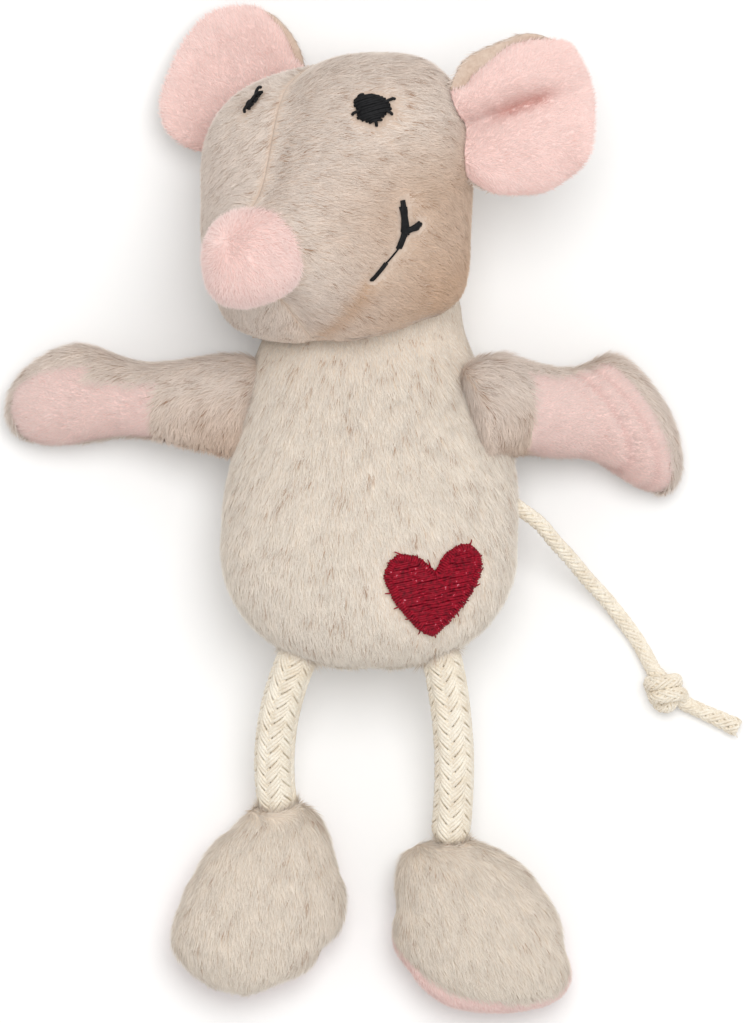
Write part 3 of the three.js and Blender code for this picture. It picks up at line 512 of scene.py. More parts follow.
def fitted(points, middle, rim, least):
    """Points moved to or from a middle, seen from the front, until their outline is the rim."""
    offset = points[:, :2] - middle
    bearing = np.arctan2(offset[:, 1], offset[:, 0])
    reach = np.hypot(offset[:, 0], offset[:, 1])
    bins = np.linspace(-np.pi, np.pi, OUTLINE_BINS + 1)
    slot = np.clip(np.digitize(bearing, bins) - 1, 0, OUTLINE_BINS - 1)
    widest = np.array([reach[slot == k].max() if (slot == k).any() else np.nan for k in range(OUTLINE_BINS)])
    centres = (bins[:-1] + bins[1:]) / 2
    good = ~np.isnan(widest)
    widest = np.interp(centres, centres[good], widest[good], period=2 * np.pi)
    widest = (np.roll(widest, 1) + 2 * widest + np.roll(widest, -1)) / 4
    now = np.interp(bearing, centres, widest, period=2 * np.pi)
    scale = np.maximum(rim_reach(rim, middle, bearing) / now, least)
    moved = points.copy()
    moved[:, :2] = middle + offset * scale[:, None]
    return moved


def spots_of(mesh):
    spots = np.empty(len(mesh.vertices) * 3)
    mesh.vertices.foreach_get("co", spots)
    return spots.reshape(-1, 3)


def normals_of(mesh):
    normals = np.empty(len(mesh.vertices) * 3)
    mesh.vertex_normals.foreach_get("vector", normals)
    return normals.reshape(-1, 3)


def mesh_of(points, faces):
    """A mesh in mm with its faces turned outwards."""
    mesh = bpy.data.meshes.new("form")
    mesh.from_pydata(np.asarray(points).tolist(), [], faces, shade_flat=False)
    work = bmesh.new()
    work.from_mesh(mesh)
    bmesh.ops.recalc_face_normals(work, faces=work.faces[:])
    work.to_mesh(mesh)
    work.free()
    return mesh


def modified(mesh, kind, **settings):
    """The mesh after one modifier."""
    holder = placed("holder", mesh)
    modifier = holder.modifiers.new("step", kind)
    for name, value in settings.items():
        setattr(modifier, name, value)
    result = bpy.data.meshes.new_from_object(evaluated(holder))
    bpy.data.objects.remove(holder)
    return result


def ball_mesh(centre, radius):
    work = bmesh.new()
    bmesh.ops.create_uvsphere(work, u_segments=40, v_segments=24, radius=radius)
    bmesh.ops.translate(work, verts=work.verts[:], vec=Vector(centre))
    mesh = bpy.data.meshes.new("ball")
    work.to_mesh(mesh)
    work.free()
    return mesh


def hollowed(mesh, tool):
    """The mesh less the tool, both in mm. A cut leaves points and faces in any order, so they are sorted."""
    cutter = placed("cutter", tool)
    cut = modified(mesh, 'BOOLEAN', operation='DIFFERENCE', object=cutter, solver='EXACT')
    bpy.data.objects.remove(cutter)
    points = spots_of(cut)
    order = np.lexsort(points.T)
    rank = np.argsort(order)
    faces = []
    for face in cut.polygons:
        corners = rank[list(face.vertices)].tolist()
        first = corners.index(min(corners))
        faces.append(corners[first:] + corners[:first])
    result = bpy.data.meshes.new("hollowed")
    result.from_pydata(points[order].tolist(), [], sorted(faces), shade_flat=not cut.polygons[0].use_smooth)
    return result


def stuffed(points, faces, seam, pressure, cap):
    """Swells a sewn bag by cloth simulation, with its seams held and each point's move capped."""
    mesh = bpy.data.meshes.new("bag")
    mesh.from_pydata((points * MM * SIM_SCALE).tolist(), [], faces)
    bag = placed("bag", mesh)
    group = bag.vertex_groups.new(name="seam")
    group.add(np.nonzero(seam)[0].tolist(), 1.0, 'REPLACE')
    cloth = bag.modifiers.new("cloth", 'CLOTH')
    for name, value in {**SIM_CLOTH, "uniform_pressure_force": pressure, "vertex_group_mass": "seam"}.items():
        setattr(cloth.settings, name, value)
    cloth.settings.effector_weights.gravity = 0
    cloth.collision_settings.use_collision = False
    cloth.point_cache.frame_start = 1
    cloth.point_cache.frame_end = SIM_FRAMES
    for number in range(1, SIM_FRAMES + 1):
        scene.frame_set(number)
    swollen = spots_of(evaluated(bag).data)
    bpy.data.objects.remove(bag)
    scene.frame_set(1)
    move = swollen / (MM * SIM_SCALE) - points
    length = np.linalg.norm(move, axis=1, keepdims=True)
    return points + move * np.minimum(1, cap / np.maximum(length, 1e-9))


def sewn_bag(points, faces, pinned, dips, cap=0.7, pressure=4.0, inset=0.2):
    """A stuffed bag in mm: pulled in along its seams, swollen, flat where it lies, and subdivided once."""
    mesh = mesh_of(points, faces)
    start = np.asarray(points, float) - normals_of(mesh) * (inset + dips[:, None])
    outward = [tuple(face.vertices) for face in mesh.polygons]
    full = stuffed(start, outward, pinned, pressure, cap)
    full[:, 2] = np.maximum(full[:, 2], SKIN_REST)
    mesh.vertices.foreach_set("co", full.ravel())
    return modified(mesh, 'SUBSURF', levels=1, render_levels=1)


def panel_of(mesh, cuts, keep=None):
    """The part of a bag in front of each seam plane, or the faces between them that a rule keeps."""
    work = bmesh.new()
    work.from_mesh(mesh)
    for point, normal in cuts:
        bmesh.ops.bisect_plane(work, geom=work.verts[:] + work.edges[:] + work.faces[:], dist=1e-4,
                               plane_co=Vector(point), plane_no=Vector(normal), clear_inner=keep is None)
    if keep is not None:
        spare = [face for face in work.faces if not keep(np.array(face.calc_center_median()))]
        bmesh.ops.delete(work, geom=spare, context='FACES')
    panel = bpy.data.meshes.new("panel")
    work.to_mesh(panel)
    work.free()
    return panel


def strand_object(name, root, tip, flat):
    """One hair of the pile, a unit long: a three-sided spike, with its run and side kept for colour."""
    ring = [(root[0], side, root[1] + rise * flat) for side, rise in ((-1, -0.5), (1, -0.5), (0, 0.8))]
    mesh = bpy.data.meshes.new(name)
    mesh.from_pydata(ring + [(tip[0], 0, tip[1])], [], [(0, 1, 3), (1, 2, 3), (2, 0, 3)])
    set_values(mesh, "along", (0, 0, 0, 1))
    set_values(mesh, "side", (-1, 1, 0, 0))
    strand = placed(name, mesh)
    strand.hide_render = True
    return strand


TONES = 16
TONE_REACH = TONES - 0.01
STRIP_HALF = 0.36 / TONES ** 2
PRESSED_PILE = 0.4
PRESSED_REACH = 4.5
STRAY_RISE = 0.2
CLUMP_SPAN = (0.36, 0.64)
CLUMP_SHARE = 0.4
# The colour that painted shade and tint darken a pile towards, for a pile that gives none of its own.
TINT_AND_SHADE_COLOUR = (0.55, 0.48, 0.42, 1)


def pile_tree():
    """Plants a strand at random points of a cloth, leaning along the nap, in loose tufts."""
    tree, names, given = new_tree("plush_pile", {
        "Strand": 'Object', "Density": 'Float', "Seed": 'Int', "Shortest": 'Float', "Longest": 'Float',
        "Width": 'Float', "Stray": 'Float', "Tuft Scale": 'Float', "Tuft Lean": 'Float',
        "Sewn Over": 'Object', "Clearance": 'Float', "Table": 'Float', "Finish": 'Material'})
    density = arithmetic(tree, 'MULTIPLY', attribute(tree, "cover"), (given, "Density"))
    planted = new_node(tree, 'GeometryNodeDistributePointsOnFaces', {
        'Mesh': (given, "Geometry"), 'Density': density, 'Seed': (given, "Seed")})

    clearance = (given, "Clearance")
    sewn = new_node(tree, 'GeometryNodeObjectInfo', {'Object': (given, "Sewn Over")})
    nearest = new_node(tree, 'GeometryNodeProximity', {'Geometry': (sewn, 'Geometry')})
    under = new_node(tree, 'FunctionNodeCompare', {
        0: (nearest, 'Distance'), 1: clearance}, operation='LESS_THAN')
    cleared = new_node(tree, 'GeometryNodeDeleteGeometry', {
        'Geometry': (planted, 'Points'), 'Selection': (under, 'Result')})
    pressed = new_node(tree, 'ShaderNodeMapRange', {
        'Value': (nearest, 'Distance'), 'From Min': clearance,
        'From Max': arithmetic(tree, 'MULTIPLY', clearance, PRESSED_REACH), 'To Min': PRESSED_PILE})
    any_sewn = new_node(tree, 'FunctionNodeCompare', {0: clearance, 1: 0}, operation='GREATER_THAN')
    held = new_node(tree, 'GeometryNodeSwitch', {
        'Switch': (any_sewn, 'Result'), 'False': 1, 'True': (pressed, 'Result')}, input_type='FLOAT')

    place = (new_node(tree, 'GeometryNodeInputPosition'), 'Position')
    tufts = new_node(tree, 'ShaderNodeTexNoise', {
        'Vector': place, 'Scale': (given, "Tuft Scale"), 'Detail': 2.5})
    centred = new_node(tree, 'ShaderNodeVectorMath', {
        0: (tufts, 'Color'), 1: (0.5, 0.5, 0.5)}, operation='SUBTRACT')
    drawn = new_node(tree, 'ShaderNodeVectorMath', {
        0: (centred, 'Vector'), 'Scale': (given, "Tuft Lean")}, operation='SCALE')
    heading = new_node(tree, 'ShaderNodeVectorMath', {
        0: attribute(tree, "nap", 'FLOAT_VECTOR'), 1: (drawn, 'Vector')})

    upright = new_node(tree, 'FunctionNodeAlignRotationToVector', {'Vector': (planted, 'Normal')}, axis='Z')
    combed = new_node(tree, 'FunctionNodeAlignRotationToVector', {
        'Rotation': (upright, 'Rotation'), 'Vector': (heading, 'Vector')}, axis='X', pivot_axis='Z')
    most = new_node(tree, 'ShaderNodeCombineXYZ', {
        'Y': arithmetic(tree, 'MULTIPLY', (given, "Stray"), STRAY_RISE), 'Z': (given, "Stray")})
    least = new_node(tree, 'ShaderNodeVectorMath', {0: (most, 'Vector'), 'Scale': -1}, operation='SCALE')
    chance = new_node(tree, 'FunctionNodeRandomValue', {
        0: (least, 'Vector'), 1: (most, 'Vector'), 'Seed': (given, "Seed")}, data_type='FLOAT_VECTOR')
    turned = new_node(tree, 'FunctionNodeEulerToRotation', {'Euler': (chance, 0)})
    loose = new_node(tree, 'FunctionNodeRotateRotation', {
        'Rotation': (combed, 'Rotation'), 'Rotate By': (turned, 'Rotation')}, rotation_space='LOCAL')

    length = new_node(tree, 'FunctionNodeRandomValue', {2: (given, "Shortest"), 3: (given, "Longest")})
    trimmed = arithmetic(tree, 'MULTIPLY', (length, 1), attribute(tree, "pile"))
    final_length = arithmetic(tree, 'MULTIPLY', trimmed, (held, 'Output'))
    size = new_node(tree, 'ShaderNodeCombineXYZ', {
        'X': final_length, 'Y': (given, "Width"), 'Z': final_length})
    strand = new_node(tree, 'GeometryNodeObjectInfo', {'Object': (given, "Strand")})
    hairs = new_node(tree, 'GeometryNodeInstanceOnPoints', {
        'Points': (cleared, 'Geometry'), 'Instance': (strand, 'Geometry'), 'Rotation': (loose, 'Rotation'),
        'Scale': (size, 'Vector')})

    # Each strand's column of the map: the painted shade and tint of its place, in steps, and a random step of
    # its own.
    tint_and_shade_step = arithmetic(tree, 'FLOOR', arithmetic(tree, 'MULTIPLY', attribute(tree, "tone"), TONE_REACH))
    variety = new_node(tree, 'FunctionNodeRandomValue', {3: 1 - CLUMP_SHARE, 'Seed': 5})
    clump = new_node(tree, 'ShaderNodeMapRange', {
        'Value': (tufts, 'Fac'), 'From Min': CLUMP_SPAN[0], 'From Max': CLUMP_SPAN[1], 'To Max': CLUMP_SHARE})
    varied = arithmetic(tree, 'ADD', (variety, 1), (clump, 'Result'))
    variety_step = arithmetic(tree, 'FLOOR', arithmetic(tree, 'MULTIPLY', varied, TONE_REACH))
    variety_middle = arithmetic(tree, 'ADD', variety_step, 0.5)
    column = arithmetic(tree, 'ADD', tint_and_shade_step, arithmetic(tree, 'MULTIPLY', variety_middle, 1 / TONES))
    marked = new_node(tree, 'GeometryNodeStoreNamedAttribute', {
        'Geometry': (hairs, 'Instances'), 'Name': "column",
        'Value': arithmetic(tree, 'MULTIPLY', column, 1 / TONES)}, domain='INSTANCE')
    real = new_node(tree, 'GeometryNodeRealizeInstances', {'Geometry': (marked, 'Geometry')})

    strip = arithmetic(tree, 'MULTIPLY', attribute(tree, "side"), STRIP_HALF)
    across = arithmetic(tree, 'ADD', attribute(tree, "column"), strip)
    spot = new_node(tree, 'ShaderNodeCombineXYZ', {'X': across, 'Y': attribute(tree, "along")})
    mapped = new_node(tree, 'GeometryNodeStoreNamedAttribute', {
        'Geometry': (real, 'Geometry'), 'Name': "OFBake", 'Value': (spot, 'Vector')},
        domain='CORNER', data_type='FLOAT2')
    split = new_node(tree, 'ShaderNodeSeparateXYZ', {'Vector': place})
    lowest = arithmetic(tree, 'MAXIMUM', (split, 'Z'), (given, "Table"))
    resting = new_node(tree, 'ShaderNodeCombineXYZ', {'X': (split, 'X'), 'Y': (split, 'Y'), 'Z': lowest})
    rested = new_node(tree, 'GeometryNodeSetPosition', {
        'Geometry': (mapped, 'Geometry'), 'Position': (resting, 'Vector')})
    ended(tree, given, (rested, 'Geometry'))
    return tree, names


PILE_TREE = pile_tree()
PILE_SPARES = ["nap", "cover", "tone", "pile", "column", "side", "along"]
PILE_TABLE = 0.04
LONG_STRAND = strand_object("long_strand", (-0.05, -0.03), (1, 0.17), 0.016)
SHORT_STRAND = strand_object("short_strand", (-0.05, -0.08), (0.9, 0.4), 0.03)


def pile_finish(name, colours, dark=0.8, pale=1.05):
    """Pile colour from the strand's own map: root to tip along it; across it, the painted shade and tint of
    its place, and chance.
    """
    finish = bpy.data.materials.new(name)
    tree = emptied(finish)
    spot = new_node(tree, 'ShaderNodeUVMap', uv_map="OFBake")
    split = new_node(tree, 'ShaderNodeSeparateXYZ', {'Vector': (spot, 'UV')})
    run = ramp(tree, (split, 'Y'), (0, linear(colours["root"])), (0.75, linear(colours["tip"])))
    columns = arithmetic(tree, 'MULTIPLY', (split, 'X'), TONES)
    chance = arithmetic(tree, 'FRACT', columns)
    tint_and_shade_share = arithmetic(tree, 'MULTIPLY', arithmetic(tree, 'FLOOR', columns), 1 / (TONES - 1))
    # Painted shade and tint: the pile is darkened towards its darkening colour as its place's step falls.
    tones = ramp(tree, tint_and_shade_share, (0, colours.get("tint_and_shade_colour", TINT_AND_SHADE_COLOUR)), (1, WHITE))
    spread = new_node(tree, 'ShaderNodeMapRange', {'Value': chance, 'To Min': dark, 'To Max': pale})
    varied = new_node(tree, 'ShaderNodeMix', {
        'Factor': 1, 6: run, 7: tones}, data_type='RGBA', blend_type='MULTIPLY')
    lit = new_node(tree, 'ShaderNodeVectorMath', {
        0: (varied, 2), 'Scale': (spread, 'Result')}, operation='SCALE')
    rare = arithmetic(tree, 'LESS_THAN', chance, colours["flecks"])
    flecked = new_node(tree, 'ShaderNodeMix', {
        'Factor': rare, 6: (lit, 'Vector'), 7: linear(colours["fleck"])}, data_type='RGBA')
    return surfaced(finish, {
        'Base Color': (flecked, 2), 'Roughness': 0.7, 'Specular IOR Level': 0.25, 'Sheen Weight': 0.15,
        'Sheen Roughness': 0.4})


def carried(piece, body, bend):
    """Puts a piece on a body, or, where a bend is given, bakes its place into its mesh and leaves it on no
    body.
    """
    if bend is None:
        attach(piece, body)
    else:
        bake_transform(piece)


def coat(mesh, finish):
    mesh.materials.clear()
    mesh.materials.append(finish)


def plush(name, panel, body, node, cloth, pile, kind, nap, seed, strand=LONG_STRAND, cover=None,
          tone=None, length=None, sewn=None, clearance=0.0, wall=CLOTH_THICKNESS, bend=None):
    """One panel of plush: its cloth as a closed shell, and its pile as strands."""
    points, normals = spots_of(panel), normals_of(panel)
    shell = modified(panel.copy(), 'SOLIDIFY', thickness=wall, offset=-1) if wall else panel.copy()
    shell.transform(Matrix.Scale(MM, 4))
    coat(shell, cloth)
    shell.shade_smooth()
    piece = placed(name + "_cloth", shell)
    carried(piece, body, bend)
    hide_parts(node)

    ground = panel.copy()
    ground.name = name + "_ground"
    ground.transform(Matrix.Scale(MM, 4))
    set_values(ground, "nap", unit(nap(points, normals)), 'FLOAT_VECTOR')
    for label, rule in (("cover", cover), ("tone", tone), ("pile", length)):
        values = np.ones(len(points)) if rule is None else rule(points, normals)
        set_values(ground, label, np.clip(values, 0, 1))
    settings = {
        "Strand": strand, "Density": kind["density"] / MM ** 2, "Seed": seed,
        "Shortest": kind["shortest"] * MM, "Longest": kind["longest"] * MM, "Width": kind["width"] * MM,
        "Stray": kind["stray"], "Tuft Scale": 1 / (kind["tuft"] * MM), "Tuft Lean": kind["lean"] * 2,
        "Clearance": clearance * MM, "Table": PILE_TABLE * MM, "Finish": pile}
    if sewn is not None:
        settings["Sewn Over"] = sewn
    fur = grown(name + "_pile", ground, PILE_TREE, settings, PILE_SPARES)
    carried(fur, body, bend)


def as_tree(mesh):
    return BVHTree.FromPolygons([v.co[:] for v in mesh.vertices], [p.vertices[:] for p in mesh.polygons])


body_points, body_faces = body_form()
body_seam = np.exp(-((body_points - NECK_POINT) @ SEAM_NORMAL) ** 2)
body_seam[body_points[:, 1] > NECK_Y + 10] = 0
body_bag = sewn_bag(body_points, body_faces, body_seam > PINNED, SEAM_DIP * body_seam)
for hip in HIPS.values():
    body_bag = hollowed(body_bag, ball_mesh(hip, ROPE_SOCKET))
body_front = panel_of(body_bag, [(NECK_POINT, SEAM_NORMAL)])
body_back = panel_of(body_bag, [(NECK_POINT, -SEAM_NORMAL)])
body_tree = as_tree(body_bag)

# The heart. A plain heart in burgundy satin stitch on the lower right of the belly is worked in long
# near-level stitches over a padding layer, with a rolled border of short stitches and a few loose
# ends. The panels of the body get their pile here, clear of the stitches.
HEART_PLACE = np.array((8.95, -13.3))
HEART_SCALE = 0.93
HEART_RIM = [(0.75, 2.8), (2.1, 5.1), (3.9, 6.7), (5.6, 7.1), (7.1, 6.2), (7.7, 4.5), (7.3, 2.1),
             (5.9, -0.6), (3.9, -3.3), (1.9, -5.4), (0.2, -6.7), (-1.6, -5.9), (-3.6, -4), (-5.2, -1.9),
             (-6.5, 0.3), (-7, 2.5), (-6.2, 4.5), (-4.7, 5.4), (-2.8, 5.3), (-1, 4.4)]
SATIN_PITCH = 0.3
SATIN_RADIUS = 0.2
BORDER_WIDTH = 1.05
SATIN_TILT = 12
LONGEST_STITCH = 4.5
PADDING_PITCH = 0.42
LOOSE_END_SKIP = 6
TOP_LIFTS = (0.62, 0.95)
PADDING_LIFTS = (0.3, 0.5)
BORDER_LIFTS = (0.5, 1.1)
LOOSE_END_LIFTS = (0.55, 0.75)
HEART_CLEARANCE = 0.7
BURGUNDY = ((92, 0, 18), (160, 8, 38))
GLINT = (206, 120, 134)


def thread_finish(name, shade, pale, rough, shine, glint=None):
    """Shiny embroidery thread: fine bands of two tones across it, a soft gloss, and rare bright glints."""
    finish = bpy.data.materials.new(name)
    tree = emptied(finish)
    place = new_node(tree, 'ShaderNodeTexCoord')
    bands = new_node(tree, 'ShaderNodeTexNoise', {
        'Vector': (place, 'Object'), 'Scale': 1 / (0.55 * MM), 'Detail': 3})
    stops = [(0.3, linear(shade)), (0.64, linear(pale))]
    if glint:
        stops += [(0.67, linear(pale)), (0.71, linear(glint))]
    height = new_node(tree, 'ShaderNodeBump', {
        'Strength': 0.35, 'Distance': 0.06 * MM, 'Height': (bands, 'Fac')})
    return surfaced(finish, {
        'Base Color': ramp(tree, (bands, 'Fac'), *stops), 'Normal': (height, 'Normal'), 'Roughness': rough,
        'Specular IOR Level': shine})


def crossings(outline, level):
    """Where a level line enters and leaves an outline."""
    found = []
    for (x0, y0), (x1, y1) in zip(outline, np.roll(outline, -1, axis=0)):
        if (y0 - level) * (y1 - level) < 0:
            found.append(x0 + (x1 - x0) * (level - y0) / (y1 - y0))
    found.sort()
    return list(zip(found[::2], found[1::2]))


def satin(outline, tilt, pitch, longest, ragged, random):
    """Stitches (start, end) that fill an outline in level rows, all turned by the tilt."""
    turn = np.array(((math.cos(tilt), -math.sin(tilt)), (math.sin(tilt), math.cos(tilt))))
    level_outline = outline @ turn
    stitches = []
    for level in np.arange(level_outline[:, 1].min() + pitch / 2, level_outline[:, 1].max(), pitch):
        for start, end in crossings(level_outline, level):
            parts = max(1, math.ceil((end - start) / longest))
            joints = np.linspace(start, end, parts + 1)
            joints[1:-1] += random.uniform(-0.9, 0.9, parts - 1)
            for a, b in zip(joints, joints[1:]):
                a, b = a - random.uniform(0, ragged), b + random.uniform(0, ragged)
                drift = random.normal(0, pitch * 0.2, 2)
                stitches.append((turn @ (a, level + drift[0]), turn @ (b, level + drift[1])))
    return stitches


def on_cloth(tree, spot, lift):
    """The point of a cloth below a spot seen from above, lifted off the cloth."""
    hit, face, _, _ = tree.ray_cast(Vector((*spot, 60)), Vector((0, 0, -1)))
    if hit is None:
        hit, face, _, _ = tree.find_nearest(Vector((*spot, 0)))
    return np.array(hit) + np.array(face if face.z > 0 else -face) * lift


def laid_stitches(tree, place, stitches, lifts, steps=7):
    """Stitches (start, end) round a place, laid on a cloth and arched between two lifts."""
    paths = []
    for start, end in stitches:
        path = []
        for share in np.linspace(0, 1, steps):
            arch = math.sin(math.pi * share) ** 0.45
            path.append(on_cloth(tree, place + mixed(start, end, share), mixed(*lifts, arch)))
        paths.append(np.array(path))
    return paths


heart_outline = smooth_route([(*spot, 0) for spot in HEART_RIM + HEART_RIM[:1]], 0.4)[:-1, :2]
heart_outline = heart_outline * HEART_SCALE
heart_random = np.random.default_rng(3)
burgundy = thread_finish("burgundy_thread", *BURGUNDY, rough=0.55, shine=0.2, glint=GLINT)
top_rows = satin(heart_outline * 0.93, math.radians(SATIN_TILT), SATIN_PITCH, LONGEST_STITCH, 0.2,
                 heart_random)
heart_top = laid_stitches(body_tree, HEART_PLACE, top_rows, TOP_LIFTS)
pad_rows = satin(heart_outline * 0.95, math.radians(SATIN_TILT + 90), PADDING_PITCH, 30, 0, heart_random)
heart_pad = laid_stitches(body_tree, HEART_PLACE, pad_rows, PADDING_LIFTS, 11)
border, heart_ends = [], []
edge_way = np.roll(heart_outline, -1, axis=0) - np.roll(heart_outline, 1, axis=0)
inward = np.stack([edge_way[:, 1], -edge_way[:, 0]], axis=1) / np.linalg.norm(edge_way, axis=1)[:, None]
for k, (edge, way) in enumerate(zip(heart_outline, inward)):
    border.append((edge - way * heart_random.uniform(0, 0.22),
                   edge + way * BORDER_WIDTH * heart_random.uniform(0.8, 1.1)))
    if k % LOOSE_END_SKIP == 0:
        away = unit(edge) * heart_random.uniform(0.3, 0.9) + heart_random.normal(0, 0.2, 2)
        heart_ends += laid_stitches(body_tree, HEART_PLACE, [(edge, edge + away)], LOOSE_END_LIFTS, 4)
heart_border = laid_stitches(body_tree, HEART_PLACE, border, BORDER_LIFTS, 6)
heart_widths = ([np.ones(len(path)) for path in heart_top + heart_border]
                + [np.full(len(path), 1.4) for path in heart_pad]
                + [np.linspace(0.8, 0.35, len(path)) for path in heart_ends])
heart = spun("heart_satin", heart_top + heart_border + heart_pad + heart_ends, SATIN_RADIUS, YARN_SIDES,
             burgundy, heart_widths)
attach(heart, "body")
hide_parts("heart_embroidery")

cream_cloth = fibre_finish("cream_backing", *CREAM_CLOTH, 0.5)
cream_pile = pile_finish("cream_pile", CREAM)


def body_nap(points, normals):
    return np.stack([0.1 + points[:, 0] * 0.012, np.full(len(points), -1.0), np.zeros(len(points))], axis=1)


def body_cover(points, normals):
    return (points[:, 1] < NECK_Y + 8).astype(float)


def body_length(points, normals):
    return np.clip((NECK_Y + 2 - points[:, 1]) / 9, 0.3, 1)


plush("body_front", body_front, "body", "body_front_panel", cream_cloth, cream_pile,
      LONG_PILE, body_nap, 1, cover=body_cover, length=body_length, sewn=heart,
      clearance=HEART_CLEARANCE)
plush("body_back", body_back, "body", "body_back_panel", cream_cloth, cream_pile,
      LONG_PILE, body_nap, 2, cover=body_cover, length=body_length)

# The filling. Two wads of white polyester fibre pack the bag round a small muslin sachet of dried
# catnip; the head, arms and feet are packed with the same fibre. None of it shows from outside.
fibre_fill = fibre_finish("fibre_fill", (214, 212, 206), (246, 245, 241), 0.9, sheen=0.3, bump=0.8)
muslin = fibre_finish("muslin", (202, 190, 166), (228, 218, 197), 0.25, bump=0.6)
dried_herb = fibre_finish("dried_herb", (74, 78, 38), (128, 126, 74), 0.8, bump=1.0)
for finish, nodes in ((fibre_fill, ("body_stuffing_front", "body_stuffing_back")),
                      (muslin, ("catnip_pouch_front", "catnip_pouch_back")), (dried_herb, ("catnip_herb",))):
    for node in nodes:
        coat(bpy.data.objects[node].data, finish)

# The head. Two panels of shorter taupe plush are sewn along the middle of the face and filled tight;
# a cup of pink velour makes the nose. The ball is hollowed below, where it is sewn on the neck.
HEAD_CENTRE = np.array((-6.1, 43.8, 20.488))
HEAD_YAW = -31
HEAD_PITCH = 21
HEAD_ROLL = 3
HEAD_HALF_WIDTH = 20.2
HEAD_HALF_HEIGHT = 21.2
HEAD_BACK = 19.6
HEAD_FULLNESS = 2.5
JAW_SQUARENESS = 3.8
BROW_FULLNESS = 1.15
JAW_FULLNESS = 2.6
SNOUT_LENGTH = 21
NOSE_RADIUS = 7.2
NOSE_LENGTH = 8.2
NECK_SOCKET = 16.8
FILLING_DEPTH = 1.4
HEAD_MIDDLE = np.array((-5.2, 45.2))
HEAD_RIM = [(14.9, 44.5), (14.8, 52), (14.2, 57.5), (13, 60.8), (10.8, 63.4), (8, 65.2), (5, 65.9),
            (1, 66), (-4, 65.6), (-9, 64.6), (-14, 62), (-19, 57.4), (-22.6, 52), (-24, 48.3),
            (-24.6, 44), (-24.7, 38.5), (-24.6, 34), (-23.9, 30.8), (-22.5, 27.8), (-20.3, 25.2),
            (-13.5, 23), (-6.7, 22.5), (0, 23.8), (7.3, 26), (11.4, 27.6), (13.9, 30), (14.7, 33),
            (15, 38)]
FACE_DIP = 0.45
NOSE_DIP = 0.4
CHIN_DIP = 0.6
CHIN_DART = (np.array((0.6, 32.8)), np.array((-7.2, 24)))
LEAST_FIT = 0.95
# The taupe pile's last colour is what it darkens towards: painted shade near the armpits and along the chin
# dart, and, under the jaw and on the cheeks, partly painted shade and partly the cloth's own browner colour.
TAUPE = {"root": (211, 193, 178), "tip": (245, 233, 223), "fleck": (172, 138, 114), "flecks": 0.1,
         "tint_and_shade_colour": (0.73, 0.54, 0.38, 1)}
TAUPE_CLOTH = ((196, 172, 153), (216, 196, 180))
# The pink pile's last colour is the painted shade in the ear's crease.
PINK = {"root": (243, 210, 203), "tip": (252, 231, 226), "fleck": (240, 206, 198), "flecks": 0.06,
        "tint_and_shade_colour": (0.8, 0.5, 0.45, 1)}
PINK_CLOTH = ((242, 210, 203), (248, 220, 214))
HEAD_PILE = {"density": 18, "shortest": 1.4, "longest": 2.4, "width": 0.085, "stray": 0.36,
             "tuft": 1.9, "lean": 0.65}
NOSE_PILE = {"density": 22, "shortest": 1.0, "longest": 1.6, "width": 0.085, "stray": 0.7,
             "tuft": 1.8, "lean": 0.7}
VELOUR = {"density": 24, "shortest": 0.75, "longest": 1.05, "width": 0.085, "stray": 0.6,
          "tuft": 2.5, "lean": 0.5}


def turned(degrees, axis):
    return Matrix.Rotation(math.radians(degrees), 3, axis)


HEAD_AXES = np.array(turned(HEAD_YAW, 'Y') @ turned(HEAD_PITCH, 'X') @ turned(HEAD_ROLL, 'Z'))
HEAD_SIDE, HEAD_CROWN, HEAD_FRONT = HEAD_AXES.T


def squared(value, fullness):
    return np.sign(value) * np.abs(value) ** (2 / fullness)


def head_form(grown=0.0, sides=64):
    """Points of the head in its own frame, +Z to the nose and +Y to the crown."""
    angle = (np.arange(sides) / sides + 0.25) * 2 * np.pi
    above = np.sin(angle) >= 0
    rings = []

    def ring(z, half_width, brow, jaw, squareness):
        across = np.where(above, squared(np.cos(angle), HEAD_FULLNESS), squared(np.cos(angle), squareness))
        rise = np.where(above, brow * squared(np.sin(angle), HEAD_FULLNESS),
                        jaw * squared(np.sin(angle), squareness))
        across[np.abs(np.cos(angle)) < 1e-6] = 0
        rings.append(np.stack([half_width * across, rise, np.full(sides, z)], axis=1))

    for a in np.linspace(0, np.pi / 2, 14)[1:]:
        height = (HEAD_HALF_HEIGHT + grown) * np.sin(a)
        ring(-(HEAD_BACK + grown) * np.cos(a), (HEAD_HALF_WIDTH + grown) * np.sin(a), height, height,
             JAW_SQUARENESS)
    for share in np.linspace(0, 1, 19)[1:]:
        brow_share = eased(share ** BROW_FULLNESS)
        ring(SNOUT_LENGTH * share, mixed(HEAD_HALF_WIDTH, NOSE_RADIUS, brow_share) + grown,
             mixed(HEAD_HALF_HEIGHT, NOSE_RADIUS, brow_share) + grown,
             mixed(HEAD_HALF_HEIGHT, NOSE_RADIUS, eased(share ** JAW_FULLNESS)) + grown,
             mixed(JAW_SQUARENESS, HEAD_FULLNESS, eased(share)))
    for a in np.linspace(0, np.pi / 2, 9)[1:-1]:
        radius = (NOSE_RADIUS + grown) * np.cos(a)
        ring(SNOUT_LENGTH + (NOSE_LENGTH + grown) * np.sin(a), radius, radius, radius, HEAD_FULLNESS)
    return lofted((0, 0, -HEAD_BACK - grown), rings, (0, 0, SNOUT_LENGTH + NOSE_LENGTH + grown))


